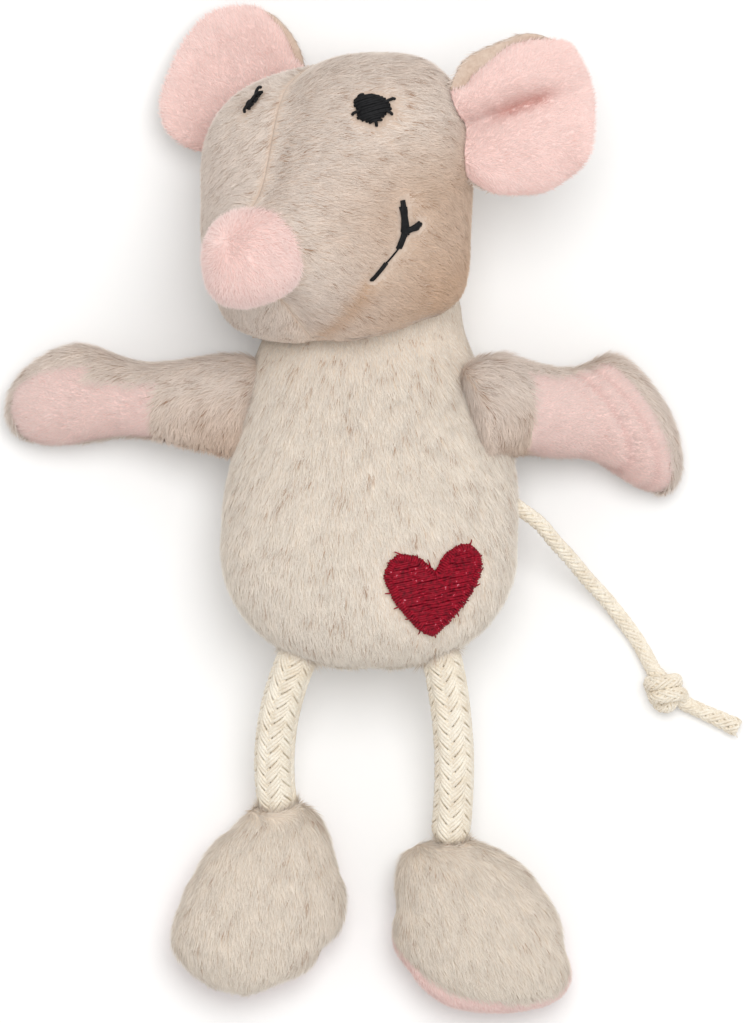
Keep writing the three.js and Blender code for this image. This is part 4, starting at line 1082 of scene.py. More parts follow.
def packed(node, bag, body, bend=None, ball=None):
    """The fibre that fills a bag, lying just inside its cloth and pressed in by the ball in its hollow."""
    filling = bag.copy()
    points = spots_of(filling) - normals_of(filling) * FILLING_DEPTH
    if ball:
        centre, radius, way = ball
        along = (points - centre) @ way
        depth = (radius + FILLING_DEPTH) ** 2 - ((points - centre) ** 2).sum(axis=1)
        push = np.where(depth > 0, np.sqrt(along ** 2 + np.maximum(depth, 0)) - along, 0)
        points += push[:, None] * way
    filling.vertices.foreach_set("co", points.ravel())
    filling.transform(Matrix.Scale(MM, 4))
    coat(filling, fibre_fill)
    piece = placed(node + "_fibre", filling)
    carried(piece, body, bend)
    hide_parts(node)


def in_head(points):
    """Points of the lying frame in the head's own frame."""
    return (points - HEAD_CENTRE) @ HEAD_AXES


def from_dart(points):
    """How far points lie from the chin dart, seen from the front."""
    run = CHIN_DART[1] - CHIN_DART[0]
    share = np.clip((points[:, :2] - CHIN_DART[0]) @ run / (run @ run), 0, 1)
    return np.linalg.norm(points[:, :2] - CHIN_DART[0] - share[:, None] * run, axis=1)


head_local, head_faces = head_form()
face_dip = np.exp(-(head_local[:, 0] / 0.9) ** 2) * (head_local[:, 2] < SNOUT_LENGTH + 0.1)
nose_dip = np.exp(-((head_local[:, 2] - SNOUT_LENGTH) / 0.6) ** 2)
head_points = fitted(head_local @ HEAD_AXES.T + HEAD_CENTRE, HEAD_MIDDLE, HEAD_RIM, LEAST_FIT)
chin_dip = np.exp(-(from_dart(head_points) / 1.6) ** 2) * (head_points[:, 2] > HEAD_CENTRE[2] - 4)
head_bag = sewn_bag(head_points, head_faces, (face_dip > PINNED) | (nose_dip > PINNED),
                    np.maximum.reduce([FACE_DIP * face_dip, NOSE_DIP * nose_dip, CHIN_DIP * chin_dip]))
packed("head_stuffing", head_bag, "head", ball=(NECK_POINT, NECK_SOCKET, unit(HEAD_CENTRE - NECK_POINT)))
head_bag = hollowed(head_bag, ball_mesh(NECK_POINT, NECK_SOCKET))
head_tree = as_tree(head_bag)
nose_seam = HEAD_CENTRE + HEAD_FRONT * SNOUT_LENGTH
head_left = panel_of(head_bag, [(HEAD_CENTRE, HEAD_SIDE), (nose_seam, -HEAD_FRONT)])
head_right = panel_of(head_bag, [(HEAD_CENTRE, -HEAD_SIDE), (nose_seam, -HEAD_FRONT)])
nose_cup = panel_of(head_bag, [(nose_seam, HEAD_FRONT)])

# The face. Each eye is a small patch of black satin stitch with a few stray stitches, and the mouth
# is three long stitches of black thread on each cheek, drawn down to a fine line at the chin.
LEFT_EYE_PLACE = np.array((0.4, 57.4))
LEFT_EYE_HALF = (2.35, 1.95)
LEFT_EYE_STRAYS = [((1.6, 0.6), (3.3, 1.3)), ((-1.6, -0.5), (-2.8, -1.0)), ((0.4, -1.4), (0.7, -2.6)),
                   ((1.8, -0.4), (2.9, -0.9))]
RIGHT_EYE_PLACE = np.array((-16.7, 58.6))
RIGHT_EYE_HALF = (1.6, 0.22)
RIGHT_EYE_STRAYS = [((0.3, 0.5), (1.0, 1.9)), ((-0.5, -0.7), (-1.3, -1.7))]
EYE_PITCH = 0.3
EYE_PADDING_PITCH = 0.45
LEFT_EYE_TURNS = (16, 0)
RIGHT_EYE_TURNS = (52, 50)
RIGHT_MOUTH_SHIFT = -20
MOUTH_STITCHES = [((5.3, 39.2), (4.85, 43.9), 8, 0.3, 0.13), ((5.2, 39.2), (5, 42.9), 8, 0.34, 0.26),
                  ((5.2, 39.5), (7.4, 40.4), 8, 0.2, 0.3)]
MOUTH_CHIN = [((5.2, 39.5), (4.3, 37), (-0.25, 0, 0.25), 0.9), ((4.4, 37.2), (2.4, 34.8), (0,), 0.6),
              ((2.5, 34.9), (0.3, 32.3), (-0.14, 0.14), 0.85)]
THREAD_RADIUS = 0.24
STITCH_STEPS = 7
EYE_LIFTS = (0.3, 1.0)
EYE_PADDING_LIFTS = (0.3, 0.65)
STRAY_LIFTS = (0.5, 0.95)
MOUTH_LIFTS = (0.22, 0.55)
CHIN_LIFTS = (0.2, 0.4)
FACE_CLEARANCE = 0.75
black = thread_finish("black_thread", (4, 4, 5), (22, 22, 24), 0.6, 0.2)
face_random = np.random.default_rng(7)


def stitched_eye(name, place, half, strays, tilt, turn):
    angle = np.linspace(0, 2 * np.pi, 40, endpoint=False)
    wobble = 1 + 0.07 * np.sin(3 * angle + 0.6) + 0.05 * np.cos(5 * angle)
    outline = np.stack([half[0] * np.cos(angle) * wobble, half[1] * np.sin(angle) * wobble], axis=1)
    cos, sin = math.cos(math.radians(turn)), math.sin(math.radians(turn))
    outline = outline @ np.array(((cos, sin), (-sin, cos)))
    rows = satin(outline, math.radians(tilt), EYE_PITCH, 9, 0.3, face_random)
    pad = satin(outline * 0.9, math.radians(tilt + 90), EYE_PADDING_PITCH, 9, 0, face_random)
    paths = []
    for stitches, lifts in ((rows, EYE_LIFTS), (pad, EYE_PADDING_LIFTS), (np.array(strays), STRAY_LIFTS)):
        paths += laid_stitches(head_tree, place, stitches, lifts)
    return spun(name, paths, THREAD_RADIUS, YARN_SIDES, black)


def mouth_lines():
    """The stitches of one side of the mouth, and how thick each is."""
    lines, widths = [], []
    for start, end, threads, start_spread, end_spread in MOUTH_STITCHES:
        for _ in range(threads):
            shift = face_random.normal(0, 1, (2, 2))
            lines += laid_stitches(head_tree, (0, 0), [
                (start + shift[0] * start_spread, end + shift[1] * end_spread)], MOUTH_LIFTS)
            widths.append(np.ones(STITCH_STEPS))
    for start, end, shifts, width in MOUTH_CHIN:
        for shift in shifts:
            lines += laid_stitches(head_tree, (0, 0), [
                (np.array(start) + (shift, 0), np.array(end) + (shift, 0))], CHIN_LIFTS)
            widths.append(np.full(STITCH_STEPS, width))
    return lines, widths


left_eye = stitched_eye("left_eye_satin", LEFT_EYE_PLACE, LEFT_EYE_HALF, LEFT_EYE_STRAYS,
                        *LEFT_EYE_TURNS)
right_eye = stitched_eye("right_eye_satin", RIGHT_EYE_PLACE, RIGHT_EYE_HALF, RIGHT_EYE_STRAYS,
                         *RIGHT_EYE_TURNS)
left_lines, mouth_widths = mouth_lines()
mouth_shift = np.array(Matrix.Rotation(math.radians(RIGHT_MOUTH_SHIFT), 3, Vector(HEAD_CROWN)))
right_lines = []
for line in left_lines:
    mirrored = line - 2 * ((line - HEAD_CENTRE) @ HEAD_SIDE)[:, None] * HEAD_SIDE
    laid = []
    for before, spot in zip(line, (mirrored - HEAD_CENTRE) @ mouth_shift.T + HEAD_CENTRE):
        lift = head_tree.find_nearest(Vector(before))[3]
        hit, face, _, _ = head_tree.find_nearest(Vector(spot))
        laid.append(np.array(hit + face * lift))
    right_lines.append(np.array(laid))
left_mouth = spun("left_mouth_thread", left_lines, THREAD_RADIUS, YARN_SIDES, black, mouth_widths)
right_mouth = spun("right_mouth_thread", right_lines, THREAD_RADIUS, YARN_SIDES, black, mouth_widths)
for piece, node in ((left_eye, "left_eye"), (right_eye, "right_eye"), (left_mouth, "left_mouth"),
                    (right_mouth, "right_mouth")):
    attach(piece, "head")
    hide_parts(node)


def both(first, second):
    """One mesh of two sewn pieces, which the pile keeps clear of."""
    work = bmesh.new()
    work.from_mesh(first.data)
    work.from_mesh(second.data)
    mesh = bpy.data.meshes.new("sewn_pair")
    work.to_mesh(mesh)
    work.free()
    return placed("sewn_pair", mesh)


taupe_cloth = fibre_finish("taupe_backing", *TAUPE_CLOTH, 0.5)
taupe_pile = pile_finish("taupe_pile", TAUPE)
pink_cloth = fibre_finish("pink_backing", *PINK_CLOTH, 0.4)
pink_pile = pile_finish("pink_pile", PINK, dark=0.94, pale=1.03)


def head_cover(points, normals):
    return (np.linalg.norm(points - NECK_POINT, axis=1) > NECK_SOCKET + 0.25).astype(float)


def head_length(points, normals):
    return np.clip((np.linalg.norm(points - NECK_POINT, axis=1) - NECK_SOCKET) / 5, 0.3, 1)


# Painted shade and tint on the head: darker and browner under the jaw and towards both cheeks, partly the
# cloth's own browner colour and partly painted shade, and painted shade along the chin dart's crease.
def head_tint_and_shade(points, normals):
    local = in_head(points)
    jaw = np.clip((-local[:, 1] - 6) / 16, 0, 1) * np.clip((local[:, 0] + 12) / 14, 0.15, 1)
    brow = np.clip((14 - local[:, 1]) / 12, 0.15, 1)
    cheek = np.clip((local[:, 0] - 5) / 13, 0, 1) * brow + 0.3 * np.clip((-local[:, 0] - 12) / 9, 0, 1)
    dart = np.exp(-(from_dart(points) / 1.1) ** 2)
    return 1 - np.clip(0.45 * jaw + 0.6 * cheek + 0.5 * dart * (points[:, 2] > HEAD_CENTRE[2]), 0, 0.8)


def left_cheek_nap(points, normals):
    local = in_head(points)
    down = np.where(local[:, 1] < 0, -0.75, -0.3)
    return np.stack([np.full(len(down), 0.85), down, np.full(len(down), -0.35)], axis=1) @ HEAD_AXES.T


def right_cheek_nap(points, normals):
    return np.tile((-0.5, -0.8, -0.2), (len(points), 1)) @ HEAD_AXES.T


def nose_nap(points, normals):
    local = in_head(points)
    return np.stack([local[:, 0] + 1.5, local[:, 1] - 6, np.full(len(points), -2.0)], axis=1) @ HEAD_AXES.T


left_face = both(left_eye, left_mouth)
right_face = both(right_eye, right_mouth)
for seed, side, panel, nap, sewn in ((3, "left", head_left, left_cheek_nap, left_face),
                                     (4, "right", head_right, right_cheek_nap, right_face)):
    plush(f"head_{side}", panel, "head", f"head_{side}_panel", taupe_cloth, taupe_pile,
          HEAD_PILE, nap, seed, cover=head_cover, tone=head_tint_and_shade, length=head_length, sewn=sewn,
          clearance=FACE_CLEARANCE)
plush("nose", nose_cup, "head", "nose_cap", pink_cloth, pink_pile, NOSE_PILE, nose_nap,
      5, strand=SHORT_STRAND)
bpy.data.objects.remove(left_face)
bpy.data.objects.remove(right_face)

# The neck seam. The head is sewn on with one ring of doubled cream thread, drawn tight inside the
# join, so none of it shows.
RING_RADIUS = 10.06
RING_DEPTH = 9.6
RING_CENTRE = (0, 36.7, 10.5)
RING_PLIES = 2
RING_TWISTS = 30
PLY_WAVE = 0.13
PLY_RADIUS = 0.15
ring_angle = np.linspace(0, 2 * np.pi, 145)
ring_plies = []
for ply in range(RING_PLIES):
    twist = ring_angle * RING_TWISTS + ply * np.pi
    wave = PLY_WAVE * np.cos(twist)
    ring_plies.append(np.stack([RING_CENTRE[0] + (RING_RADIUS + wave) * np.cos(ring_angle),
                                RING_CENTRE[1] + PLY_WAVE * np.sin(twist),
                                RING_CENTRE[2] + (RING_DEPTH + wave) * np.sin(ring_angle)], axis=1))
cream_thread = thread_finish("cream_thread", (206, 194, 170), (234, 224, 204), 0.6, 0.3)
neck_thread = spun("neck_thread_plies", ring_plies, PLY_RADIUS, YARN_SIDES, cream_thread)
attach(neck_thread, "neck")
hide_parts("neck_thread")

# The ears. Each is two discs of cloth sewn together at the rim, pink velour in front and taupe plush
# behind, and sewn to the head along its base. The left one is folded into a deep crease.
EAR_HALF_WIDTH = 10.4
EAR_LAYER = (0.15, 1.45)
EAR_SWING_GAP = 0.25
EAR_BEND = 4
EAR_RINGS = 15
EAR_SIDES = 64
EAR_CAP = 0.4
EAR_PRESSURE = 2.0
EARS = {
    "left": {"base": (12.443, 52.844, 22.657), "heading": 26, "middle": (23.6, 56.7), "crease": 1.1,
             "lobes": (6.4, 4.6),
             "rim": [(33.2, 58), (33.1, 54.9), (32.5, 50.9), (31.3, 49), (29.2, 47.3), (26.1, 45.4),
                     (21.8, 45), (19.1, 45), (16.5, 46), (13.8, 48.2), (12, 51.9), (11.3, 56.7),
                     (12, 61.6), (13.8, 65), (16.2, 66.5), (18.4, 67.4), (20.2, 68.1), (22.3, 68.9),
                     (24.9, 68.9), (27.2, 68), (29.5, 67.5), (31.3, 64.8), (32.6, 61.9)],
             "front": [((14, 60.1), (14.7, 61.9), (16.6, 63.5), (18.4, 65.1), (20.9, 67.1), (22.7, 67.5),
                        (27.5, 67.7)), (72, 160)]},
    "right": {"base": (-14.315, 54.505, 4.407), "heading": 127.5, "middle": (-20.3, 62.3), "crease": 0,
              "lobes": (2, 2),
              "rim": [(-9.4, 62.3), (-10.4, 57.5), (-14, 53.2), (-19.2, 51.6), (-24.3, 51.7),
                      (-26.2, 52.1), (-28.8, 53.6), (-30.2, 54.9), (-31, 57.9), (-30.7, 60.8),
                      (-29.5, 63.8), (-28.2, 66.8), (-26.4, 69.7), (-23.1, 72.7), (-19.1, 73.5),
                      (-14.6, 72.7), (-11.6, 69.7), (-9.9, 66.6)],
              "front": [((-15.8, 72.7), (-13.2, 70.1), (-11.8, 67.4), (-10.9, 65)), (16, 66)]}}
EAR_PILE = {**HEAD_PILE, "shortest": 1.0, "longest": 1.6}


def ear_run(ear, x, y):
    """How far a spot lies out along the ear, and across it from its crease."""
    heading = math.radians(ear["heading"])
    east, north = x - ear["base"][0], y - ear["base"][1]
    along = east * math.cos(heading) + north * math.sin(heading)
    crease = mixed(ear["crease"], 0, np.clip((along - 6) / 10, 0, 1))
    return along, north * math.cos(heading) - east * math.sin(heading) - crease


def ear_layer(ear, layer, low, high, sides=EAR_SIDES):
    """One cloth of an ear: a cupped disc over its rim, folded along a crease that fades outwards."""
    middle = np.array(ear["middle"])
    bearing = np.arange(sides) / sides * 2 * np.pi - np.pi
    reach = rim_reach(ear["rim"], middle, bearing)
    if layer == "front":
        turned_back, (first, last) = ear["front"]
        within = (np.degrees(bearing) > first) & (np.degrees(bearing) < last)
        reach = np.where(within, rim_reach(turned_back, middle, bearing), reach)
    else:
        reach = reach * 0.985

    def height(x, y):
        along, across = ear_run(ear, x, y)
        share = np.sqrt((across / EAR_HALF_WIDTH) ** 2 + 0.003)
        lobe = mixed(ear["lobes"][1], ear["lobes"][0], eased(np.clip(across / 4 + 0.5, 0, 1)))
        cup = lobe * share ** 2
        if not ear["crease"]:
            return cup
        fold = lobe * (1 - np.exp(-share / 0.17)) * (1 - 0.22 * share ** 2)
        fade = eased(np.clip((along - 12) / 6, 0, 1))
        return mixed(fold, cup * 0.5 + lobe * 0.6, fade)

    def at(x, y, offset):
        return np.stack([x, y, ear["base"][2] + height(x, y) + offset], axis=-1)

    shares = np.linspace(0.07, 1, EAR_RINGS)
    rings = []
    for share, offset in [(s, low) for s in shares] + [(s, high) for s in shares[::-1]]:
        rim = np.clip((share - 0.86) / 0.14, 0, 1) ** 2
        depth = mixed(offset, low if layer == "front" else high, 0.85 * rim)
        rings.append(at(middle[0] + share * reach * np.cos(bearing),
                        middle[1] + share * reach * np.sin(bearing), np.full(sides, depth)))
    centre = [np.array(c) for c in middle]
    return lofted(at(*centre, low), rings, at(*centre, high))


grown_head, grown_faces = head_form(EAR_SWING_GAP)
grown_rim = [HEAD_MIDDLE + (np.array(spot) - HEAD_MIDDLE) * (1 + EAR_SWING_GAP / 20) for spot in HEAD_RIM]
ear_room = fitted(grown_head @ HEAD_AXES.T + HEAD_CENTRE, HEAD_MIDDLE, grown_rim, LEAST_FIT)


def forward(points, normals):
    return (normals[:, 2] > -0.15).astype(float)


def backward(points, normals):
    return (normals[:, 2] < 0.9).astype(float)


for number, (side, ear) in enumerate(EARS.items()):
    heading = math.radians(ear["heading"])
    out = np.array((math.cos(heading), math.sin(heading), 0.0))
    bend = ("head", np.array(ear["base"]) - out * EAR_BEND / 2, np.array(ear["base"]) + out * EAR_BEND)
    for layer, low, high in (("front", *EAR_LAYER), ("back", -EAR_LAYER[1], -EAR_LAYER[0])):
        points, faces = ear_layer(ear, layer, low, high)
        rim = np.zeros(len(points), bool)
        rim[1 + (EAR_RINGS - 1) * EAR_SIDES:1 + (EAR_RINGS + 1) * EAR_SIDES] = True
        disc = sewn_bag(points, faces, rim, np.zeros(len(points)), EAR_CAP, EAR_PRESSURE, inset=0.0)
        disc = hollowed(disc, mesh_of(ear_room, grown_faces))

        def front_nap(points, normals, out=out, middle=np.array((*ear["middle"], 0))):
            return out * 16 + (points - middle) * (1, 1, 0)

        def back_nap(points, normals, out=out):
            return np.tile(-out, (len(points), 1))

        # Painted shade in the left ear's crease: the pink front is darkened along the fold, fading out
        # towards the rim.
        def crease_shade(points, normals, ear=ear):
            along, across = ear_run(ear, points[:, 0], points[:, 1])
            deep = np.exp(-(across / 1.1) ** 2) * np.clip((along - 5) / 4, 0, 1)
            return 1 - (0.75 if ear["crease"] else 0) * (deep * np.clip((17 - along) / 3, 0, 1))

        if layer == "front":
            plush(f"{side}_ear_front", disc, f"{side}_ear", f"{side}_ear_front", pink_cloth,
                  pink_pile, VELOUR, front_nap, 6 + number, strand=SHORT_STRAND, cover=forward,
                  tone=crease_shade, wall=0, bend=bend)
        else:
            plush(f"{side}_ear_back", disc, f"{side}_ear", f"{side}_ear_back", taupe_cloth,
                  taupe_pile, EAR_PILE, back_nap, 8 + number, cover=backward, wall=0, bend=bend)

# The arms. Each is a lightly filled tube of taupe plush sewn into the side seam, with a pink velour
# paw let into its front.
ARM_ROOT_HALF_WIDTH = 7.6
ARM_BEND = (-3.5, 3)
ARM_BEND_RUN = 3
WRIST_HALF_DEPTH = 5
PAW_HALF_DEPTH = 5.6
ARM_LEAN = 13.262
ARM_SEAM_DIP = 0.4
WRINKLE_PITCH = 2.4
ARMS = {
    "right": {"hinge": (-20.226, 14.334, 11.752), "out": 180 - ARM_LEAN, "droop": 15.183, "bend": 12.5,
              "root": (4, 4.4, 0), "length": 33.4, "wrist": (14, 5.9), "paw": (25.4, 7.2),
              "cuff": (10.4, 0), "ball": (21.3, 0), "wrinkles": 0,
              "edges": [((-0.15, 0.5, 0.866), 1.75), ((-0.86, 0, 0.5), -26)],
              "swells": [(-42.5, 22.4, 0, 1.3, 6), (-53.5, 15, -0.4, 0, 5)]},
    "left": {"hinge": (20.226, 14.334, 11.752), "out": ARM_LEAN, "droop": 20.495, "bend": -26.5,
             "root": (8, 6.6, 6.2), "length": 25.2, "wrist": (10.5, 6.8), "paw": (19, 9.3),
             "cuff": (1.8, -9), "ball": (10, 2.1), "wrinkles": 0.8,
             "edges": [((0.1, -0.5, 0.866), 2.6), ((-0.8, -0.25, 0.55), -12.3)],
             "swells": [(35.4, 21.6, 0.3, 2.4, 6.5), (40.5, 1.6, 0, -0.4, 6), (27, 6.2, 0, -0.8, 5)]}}
# The paw pile's last colour is the painted shade in its wrinkles.
PAW_PINK = {"root": (231, 202, 196), "tip": (240, 220, 214), "fleck": (226, 190, 182), "flecks": 0.08,
            "tint_and_shade_colour": (0.85, 0.62, 0.6, 1)}
paw_pile = pile_finish("paw_pile", PAW_PINK, dark=0.92, pale=1.03)
ARM_PILE = {**LONG_PILE, "density": 18, "shortest": 1.6, "longest": 2.8, "stray": 0.4}


def arm_form(arm, sides=40):
    """Points of an arm in its own frame: +X to the paw, +Y along the side seam, +Z to its front."""
    angle = np.arange(sides) / sides * 2 * np.pi
    slope = math.tan(math.radians(arm["bend"]))
    root_run, root_depth, root_rise = arm["root"]
    rings = []

    def ring(x, half_width, half_depth):
        middle = slope * x ** 2 / (x + ARM_BEND_RUN) if x > 0 else 0
        rise = root_rise * np.clip((3 - x) / (root_run + 3), 0, 1) ** 1.3
        rings.append(np.stack([np.full(sides, x), middle + half_width * np.cos(angle),
                               rise + half_depth * np.sin(angle)], axis=1))

    for a in np.linspace(0, np.pi / 2, 7)[1:]:
        ring(-root_run * np.cos(a), ARM_ROOT_HALF_WIDTH * np.sin(a) ** 0.15, root_depth * np.sin(a) ** 0.4)
    stretches = [((0, ARM_ROOT_HALF_WIDTH, root_depth), (*arm["wrist"], WRIST_HALF_DEPTH)),
                 ((*arm["wrist"], WRIST_HALF_DEPTH), (*arm["paw"], PAW_HALF_DEPTH))]
    for start, end in stretches:
        for t in np.linspace(0, 1, 10)[1:]:
            ring(mixed(start[0], end[0], t), mixed(start[1], end[1], eased(t)),
                 mixed(start[2], end[2], eased(t)))
    for a in np.linspace(0, np.pi / 2, 9)[1:-1]:
        share = np.cos(a) ** 0.8
        ring(mixed(arm["paw"][0], arm["length"], np.sin(a)), arm["paw"][1] * share, PAW_HALF_DEPTH * share)
    tip = arm["length"]
    return lofted((-root_run, 0, root_rise), rings, (tip, slope * tip ** 2 / (tip + ARM_BEND_RUN), 0))


for number, (side, arm) in enumerate(ARMS.items()):
    turn = np.array(turned(arm["out"], 'Z') @ turned(arm["droop"], 'Y'))
    hinge = np.array(arm["hinge"])
    local, faces = arm_form(arm)
    points = local @ turn.T + hinge
    for x, y, east, north, spread in arm["swells"]:
        share = np.exp(-((points[:, 0] - x) ** 2 + (points[:, 1] - y) ** 2) / spread ** 2)[:, None]
        points = points + share * (east, north, 0)
    edges = []
    for normal, gap in arm["edges"]:
        way = turn @ unit(np.array(normal))
        edges.append((hinge + way * gap / np.linalg.norm(normal), way))
    cuff_turn = math.radians(arm["cuff"][1])
    cuff = (hinge + turn @ (arm["cuff"][0], 0, 0), turn @ (math.cos(cuff_turn), math.sin(cuff_turn), 0))
    ball_start, ball_gap = arm["ball"]
    ball = [(hinge + turn @ (ball_start, 0, 0), turn @ (1, 0, 0)),
            (hinge + edges[0][1] * ball_gap / np.linalg.norm(arm["edges"][0][0]), edges[0][1])]
    gaps = [(points - point) @ normal for point, normal in edges + ball]
    inside = np.minimum(np.where(gaps[2] > 0, gaps[3], gaps[0]), gaps[1])
    edge_dip = np.exp(-(inside / 0.8) ** 2) * (local[:, 0] > 1)

    def wrinkled(points, edge=edges[1]):
        gap = (points - edge[0]) @ edge[1]
        return (0.5 + 0.5 * np.cos(gap * 2 * np.pi / WRINKLE_PITCH)) ** 2 * np.exp(-((gap - 4) / 3) ** 2)

    arm_bag = sewn_bag(points, faces, edge_dip > 0.9,
                       ARM_SEAM_DIP * edge_dip + arm["wrinkles"] * wrinkled(points))

    def on_front(spot):
        top, tip, beyond, ball_top = (np.dot(spot - point, normal) > 0 for point, normal in edges + ball)
        return tip and (ball_top if beyond else top)

    def past_cuff(spot):
        return np.dot(spot - cuff[0], cuff[1]) > 0

    cuts = edges + ball + [cuff]
    back = panel_of(arm_bag, cuts, lambda spot: not on_front(spot))
    front = panel_of(arm_bag, cuts, lambda spot: on_front(spot) and not past_cuff(spot))
    paw = panel_of(arm_bag, cuts, lambda spot: on_front(spot) and past_cuff(spot))
    bend = ("body", hinge + turn @ (ARM_BEND[0], 0, 0), hinge + turn @ (ARM_BEND[1], 0, 0))

    def arm_nap(points, normals, way=1 if side == "left" else -1):
        lower = np.clip((16 - points[:, 1]) / 4, 0, 1)
        return np.stack([way * mixed(0.9, 0.25, lower), mixed(-0.5, -0.95, lower), 0 * lower], axis=1)

    # Painted shade near the armpit: the arm's pile darkens close to its hinge, low against the body.
    def armpit_shade(points, normals, hinge=hinge):
        near = np.clip(1.3 - np.linalg.norm(points - hinge, axis=1) / 12, 0, 1)
        low = np.clip((16 - points[:, 1]) / 8, 0, 1)
        return 0.94 - 0.55 * near * low

    def paw_nap(points, normals, way=turn @ (1, 0, 0)):
        return np.tile(way, (len(points), 1))

    # Painted shade in the wrinkles of the folded paw.
    def paw_wrinkle_shade(points, normals, depth=arm["wrinkles"]):
        return 1 - 0.5 * depth * wrinkled(points)

    for seed, part, panel in ((10 + number, "back", back), (12 + number, "front", front)):
        plush(f"{side}_arm_{part}", panel, f"{side}_arm", f"{side}_arm_{part}", taupe_cloth,
              taupe_pile, ARM_PILE, arm_nap, seed, tone=armpit_shade, bend=bend)
    plush(f"{side}_arm_paw", paw, f"{side}_arm", f"{side}_arm_paw", pink_cloth, paw_pile,
          VELOUR, paw_nap, 14 + number, strand=SHORT_STRAND, tone=paw_wrinkle_shade, bend=bend)
    packed(f"{side}_arm_stuffing", arm_bag, f"{side}_arm", bend)

# The legs. Each is a short length of cotton rope, plaited from sixteen carriers of three yarns round
# a soft core, with its ends sewn into the body's bottom seam and into the foot.
ROPE_RADIUS = 2.8
ROPE_MIDDLE = 2.5
ROPE_LIFT = 0.24
ROPE_YARN = 0.3
ROPE_CARRIERS = 8
ROPE_YARNS = 3
ROPE_SPREAD = 0.22
ROPE_YARN_SIDES = 5
ROPE_PITCH = 19
ROPE_STEP = 0.4
ROPE_CORE = 2.4
ANKLES = {"right": np.array((-13.737, -44.148, 8.0)), "left": np.array((12.19, -48.576, 8.0))}
LEG_BOW = {"right": -1.4, "left": 1.0}
LEG_BEND = (0.5, 5)
for side, ankle in ANKLES.items():
    hip = HIPS[side]
    bend = (hip + ankle) / 2 + np.array((2 * LEG_BOW[side], 0, 0))
    t = np.linspace(0, 1, 60)[:, None]
    line = (1 - t) ** 2 * hip + 2 * t * (1 - t) * bend + t ** 2 * ankle
    line = np.vstack([line[:1] + unit(line[:1] - line[1:2]) * ROPE_RADIUS * 0.9, line,
                      line[-1:] + unit(line[-1:] - line[-2:-1]) * ROPE_RADIUS * 0.9])
    route = resampled(line, ROPE_STEP)
    run = np.linspace(0, 1, len(route)) * np.linalg.norm(np.diff(route, axis=0), axis=1).sum()
    end = np.clip(np.minimum(run, run[-1] - run) / ROPE_RADIUS, 0, 1)
    narrowing = np.sqrt(np.clip(1 - (1 - end) ** 2, 0.02, 1))
    yarns = plait(route, ROPE_MIDDLE, ROPE_LIFT, ROPE_CARRIERS, ROPE_YARNS, ROPE_SPREAD, ROPE_PITCH,
                  narrowing)
    rope = spun(f"{side}_leg_plait", [route] + yarns, ROPE_YARN, ROPE_YARN_SIDES, cotton,
                [narrowing * ROPE_CORE / ROPE_YARN] + [np.ones(len(path)) for path in yarns])
    way = unit(line[2] - line[1])
    carried(rope, f"{side}_leg", ("body", hip - way * LEG_BEND[0], hip + way * LEG_BEND[1]))
    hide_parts(f"{side}_leg_rope")

# The feet. Each is a plump bean of pale taupe plush with a pink velour sole, filled and closed round the
# end of its rope.
FOOT_HALF_LENGTH = 13.8
FOOT_HALF_WIDTH = 12.2
FOOT_HALF_DEPTH = 7.2
FOOT_TAPER = 0.2
FOOT_FULLNESS = 2.4
SOLE_SEAM_Z = -1.6
SOLE_DIP = 0.55
FEET = {
    "right": {"centre": (-15.782, -58.695, 6.7), "toe": -110, "sole_way": -110, "tilt": 5,
              "rim": [(-16.6, -45.3), (-10.5, -44.7), (-8, -46), (-6.2, -49), (-5.2, -52),
                      (-4.2, -54.9), (-3.3, -57.9), (-3.2, -60.9), (-3.8, -63.9), (-7.2, -66.8),
                      (-10, -69.8), (-14.8, -72.7), (-19, -73.6), (-22.9, -72.7), (-27.1, -69.8),
                      (-29.4, -66.8), (-29.5, -63.8), (-28.8, -60.9), (-27.4, -57.9), (-26, -54.9),
                      (-23.9, -52), (-20.9, -49)]},
    "left": {"centre": (15.992, -62.766, 6.7), "toe": -63, "sole_way": -99, "tilt": 28,
             "rim": [(9, -50.6), (16.5, -50.8), (19.3, -52), (23.6, -54.9), (25.6, -57.9),
                     (26.9, -60.9), (28.2, -63.8), (29.3, -66.8), (30.3, -69.8), (30.2, -72),
                     (28.2, -74.3), (24.8, -75.7), (19.3, -76.3), (14.9, -76), (10.4, -74.5),
                     (8, -72.7), (5.6, -69.8), (3.4, -66.8), (3.1, -63.8), (4, -60), (4, -55),
                     (5.2, -52)]}}
OATMEAL = {"root": (224, 208, 190), "tip": (248, 239, 227), "fleck": (190, 160, 136), "flecks": 0.09}
FOOT_PILE = {**LONG_PILE, "density": 18, "shortest": 1.5, "longest": 2.6}
foot_pile = pile_finish("foot_pile", OATMEAL)


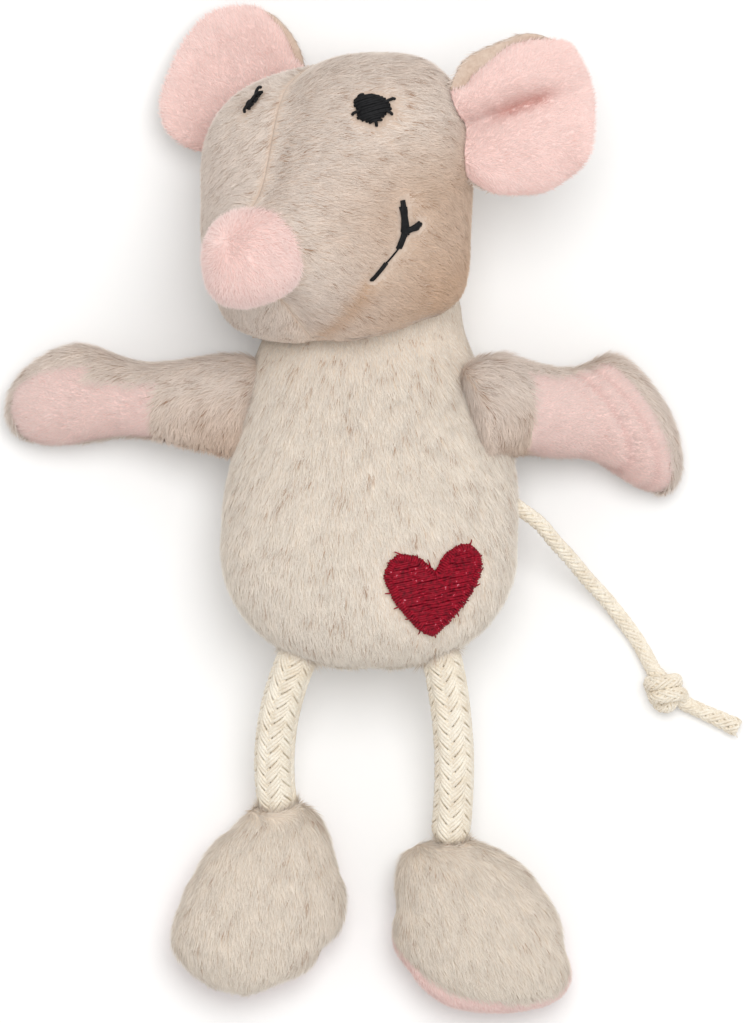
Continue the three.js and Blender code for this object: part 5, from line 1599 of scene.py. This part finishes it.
def foot_form(sides=44):
    angle = np.arange(sides) / sides * 2 * np.pi
    rings = []
    for step in np.linspace(0, np.pi, 27)[1:-1]:
        along = -np.cos(step)
        share = (1 - abs(along) ** FOOT_FULLNESS) ** (1 / FOOT_FULLNESS) * (1 + FOOT_TAPER * along)
        rings.append(np.stack([np.full(sides, FOOT_HALF_LENGTH * along),
                               FOOT_HALF_WIDTH * share * np.cos(angle),
                               FOOT_HALF_DEPTH * share * np.sin(angle)], axis=1))
    return lofted((-FOOT_HALF_LENGTH, 0, 0), rings, (FOOT_HALF_LENGTH, 0, 0))


for number, (side, foot) in enumerate(FEET.items()):
    turn = np.array(turned(foot["toe"], 'Z'))
    centre = np.array(foot["centre"])
    tilt = math.radians(foot["tilt"])
    seam_point = centre + (0, 0, SOLE_SEAM_Z)
    sole_way = math.radians(foot["sole_way"])
    seam_normal = np.array((-math.sin(tilt) * math.cos(sole_way), -math.sin(tilt) * math.sin(sole_way),
                            math.cos(tilt)))
    local, faces = foot_form()
    points = fitted(local @ turn.T + centre, centre[:2], foot["rim"], 0.9)
    sole_dip = np.exp(-(((points - seam_point) @ seam_normal) / 0.8) ** 2)
    foot_bag = sewn_bag(points, faces, sole_dip > 0.9, SOLE_DIP * sole_dip)
    packed(f"{side}_foot_stuffing", foot_bag, f"{side}_foot",
           ball=(ANKLES[side], ROPE_SOCKET, unit(centre - ANKLES[side])))
    foot_bag = hollowed(foot_bag, ball_mesh(ANKLES[side], ROPE_SOCKET))
    upper = panel_of(foot_bag, [(seam_point, seam_normal)])
    sole = panel_of(foot_bag, [(seam_point, -seam_normal)])

    def foot_nap(points, normals, toe=turn @ (1, 0, 0), ankle=ANKLES[side], hip=HIPS[side]):
        near = np.clip(1.9 - np.linalg.norm(points - ankle, axis=1) / ROPE_SOCKET, 0, 1)[:, None]
        return mixed(toe * (0.7, 1, 0) + (0.25, -0.3, 0), unit(hip - ankle), near)

    plush(f"{side}_foot_upper", upper, f"{side}_foot", f"{side}_foot_upper", cream_cloth,
          foot_pile, FOOT_PILE, foot_nap, 16 + number)
    plush(f"{side}_foot_sole", sole, f"{side}_foot", f"{side}_foot_sole", pink_cloth,
          pink_pile, VELOUR, foot_nap, 18 + number, strand=SHORT_STRAND)

for strand in (LONG_STRAND, SHORT_STRAND):
    bpy.data.objects.remove(strand)
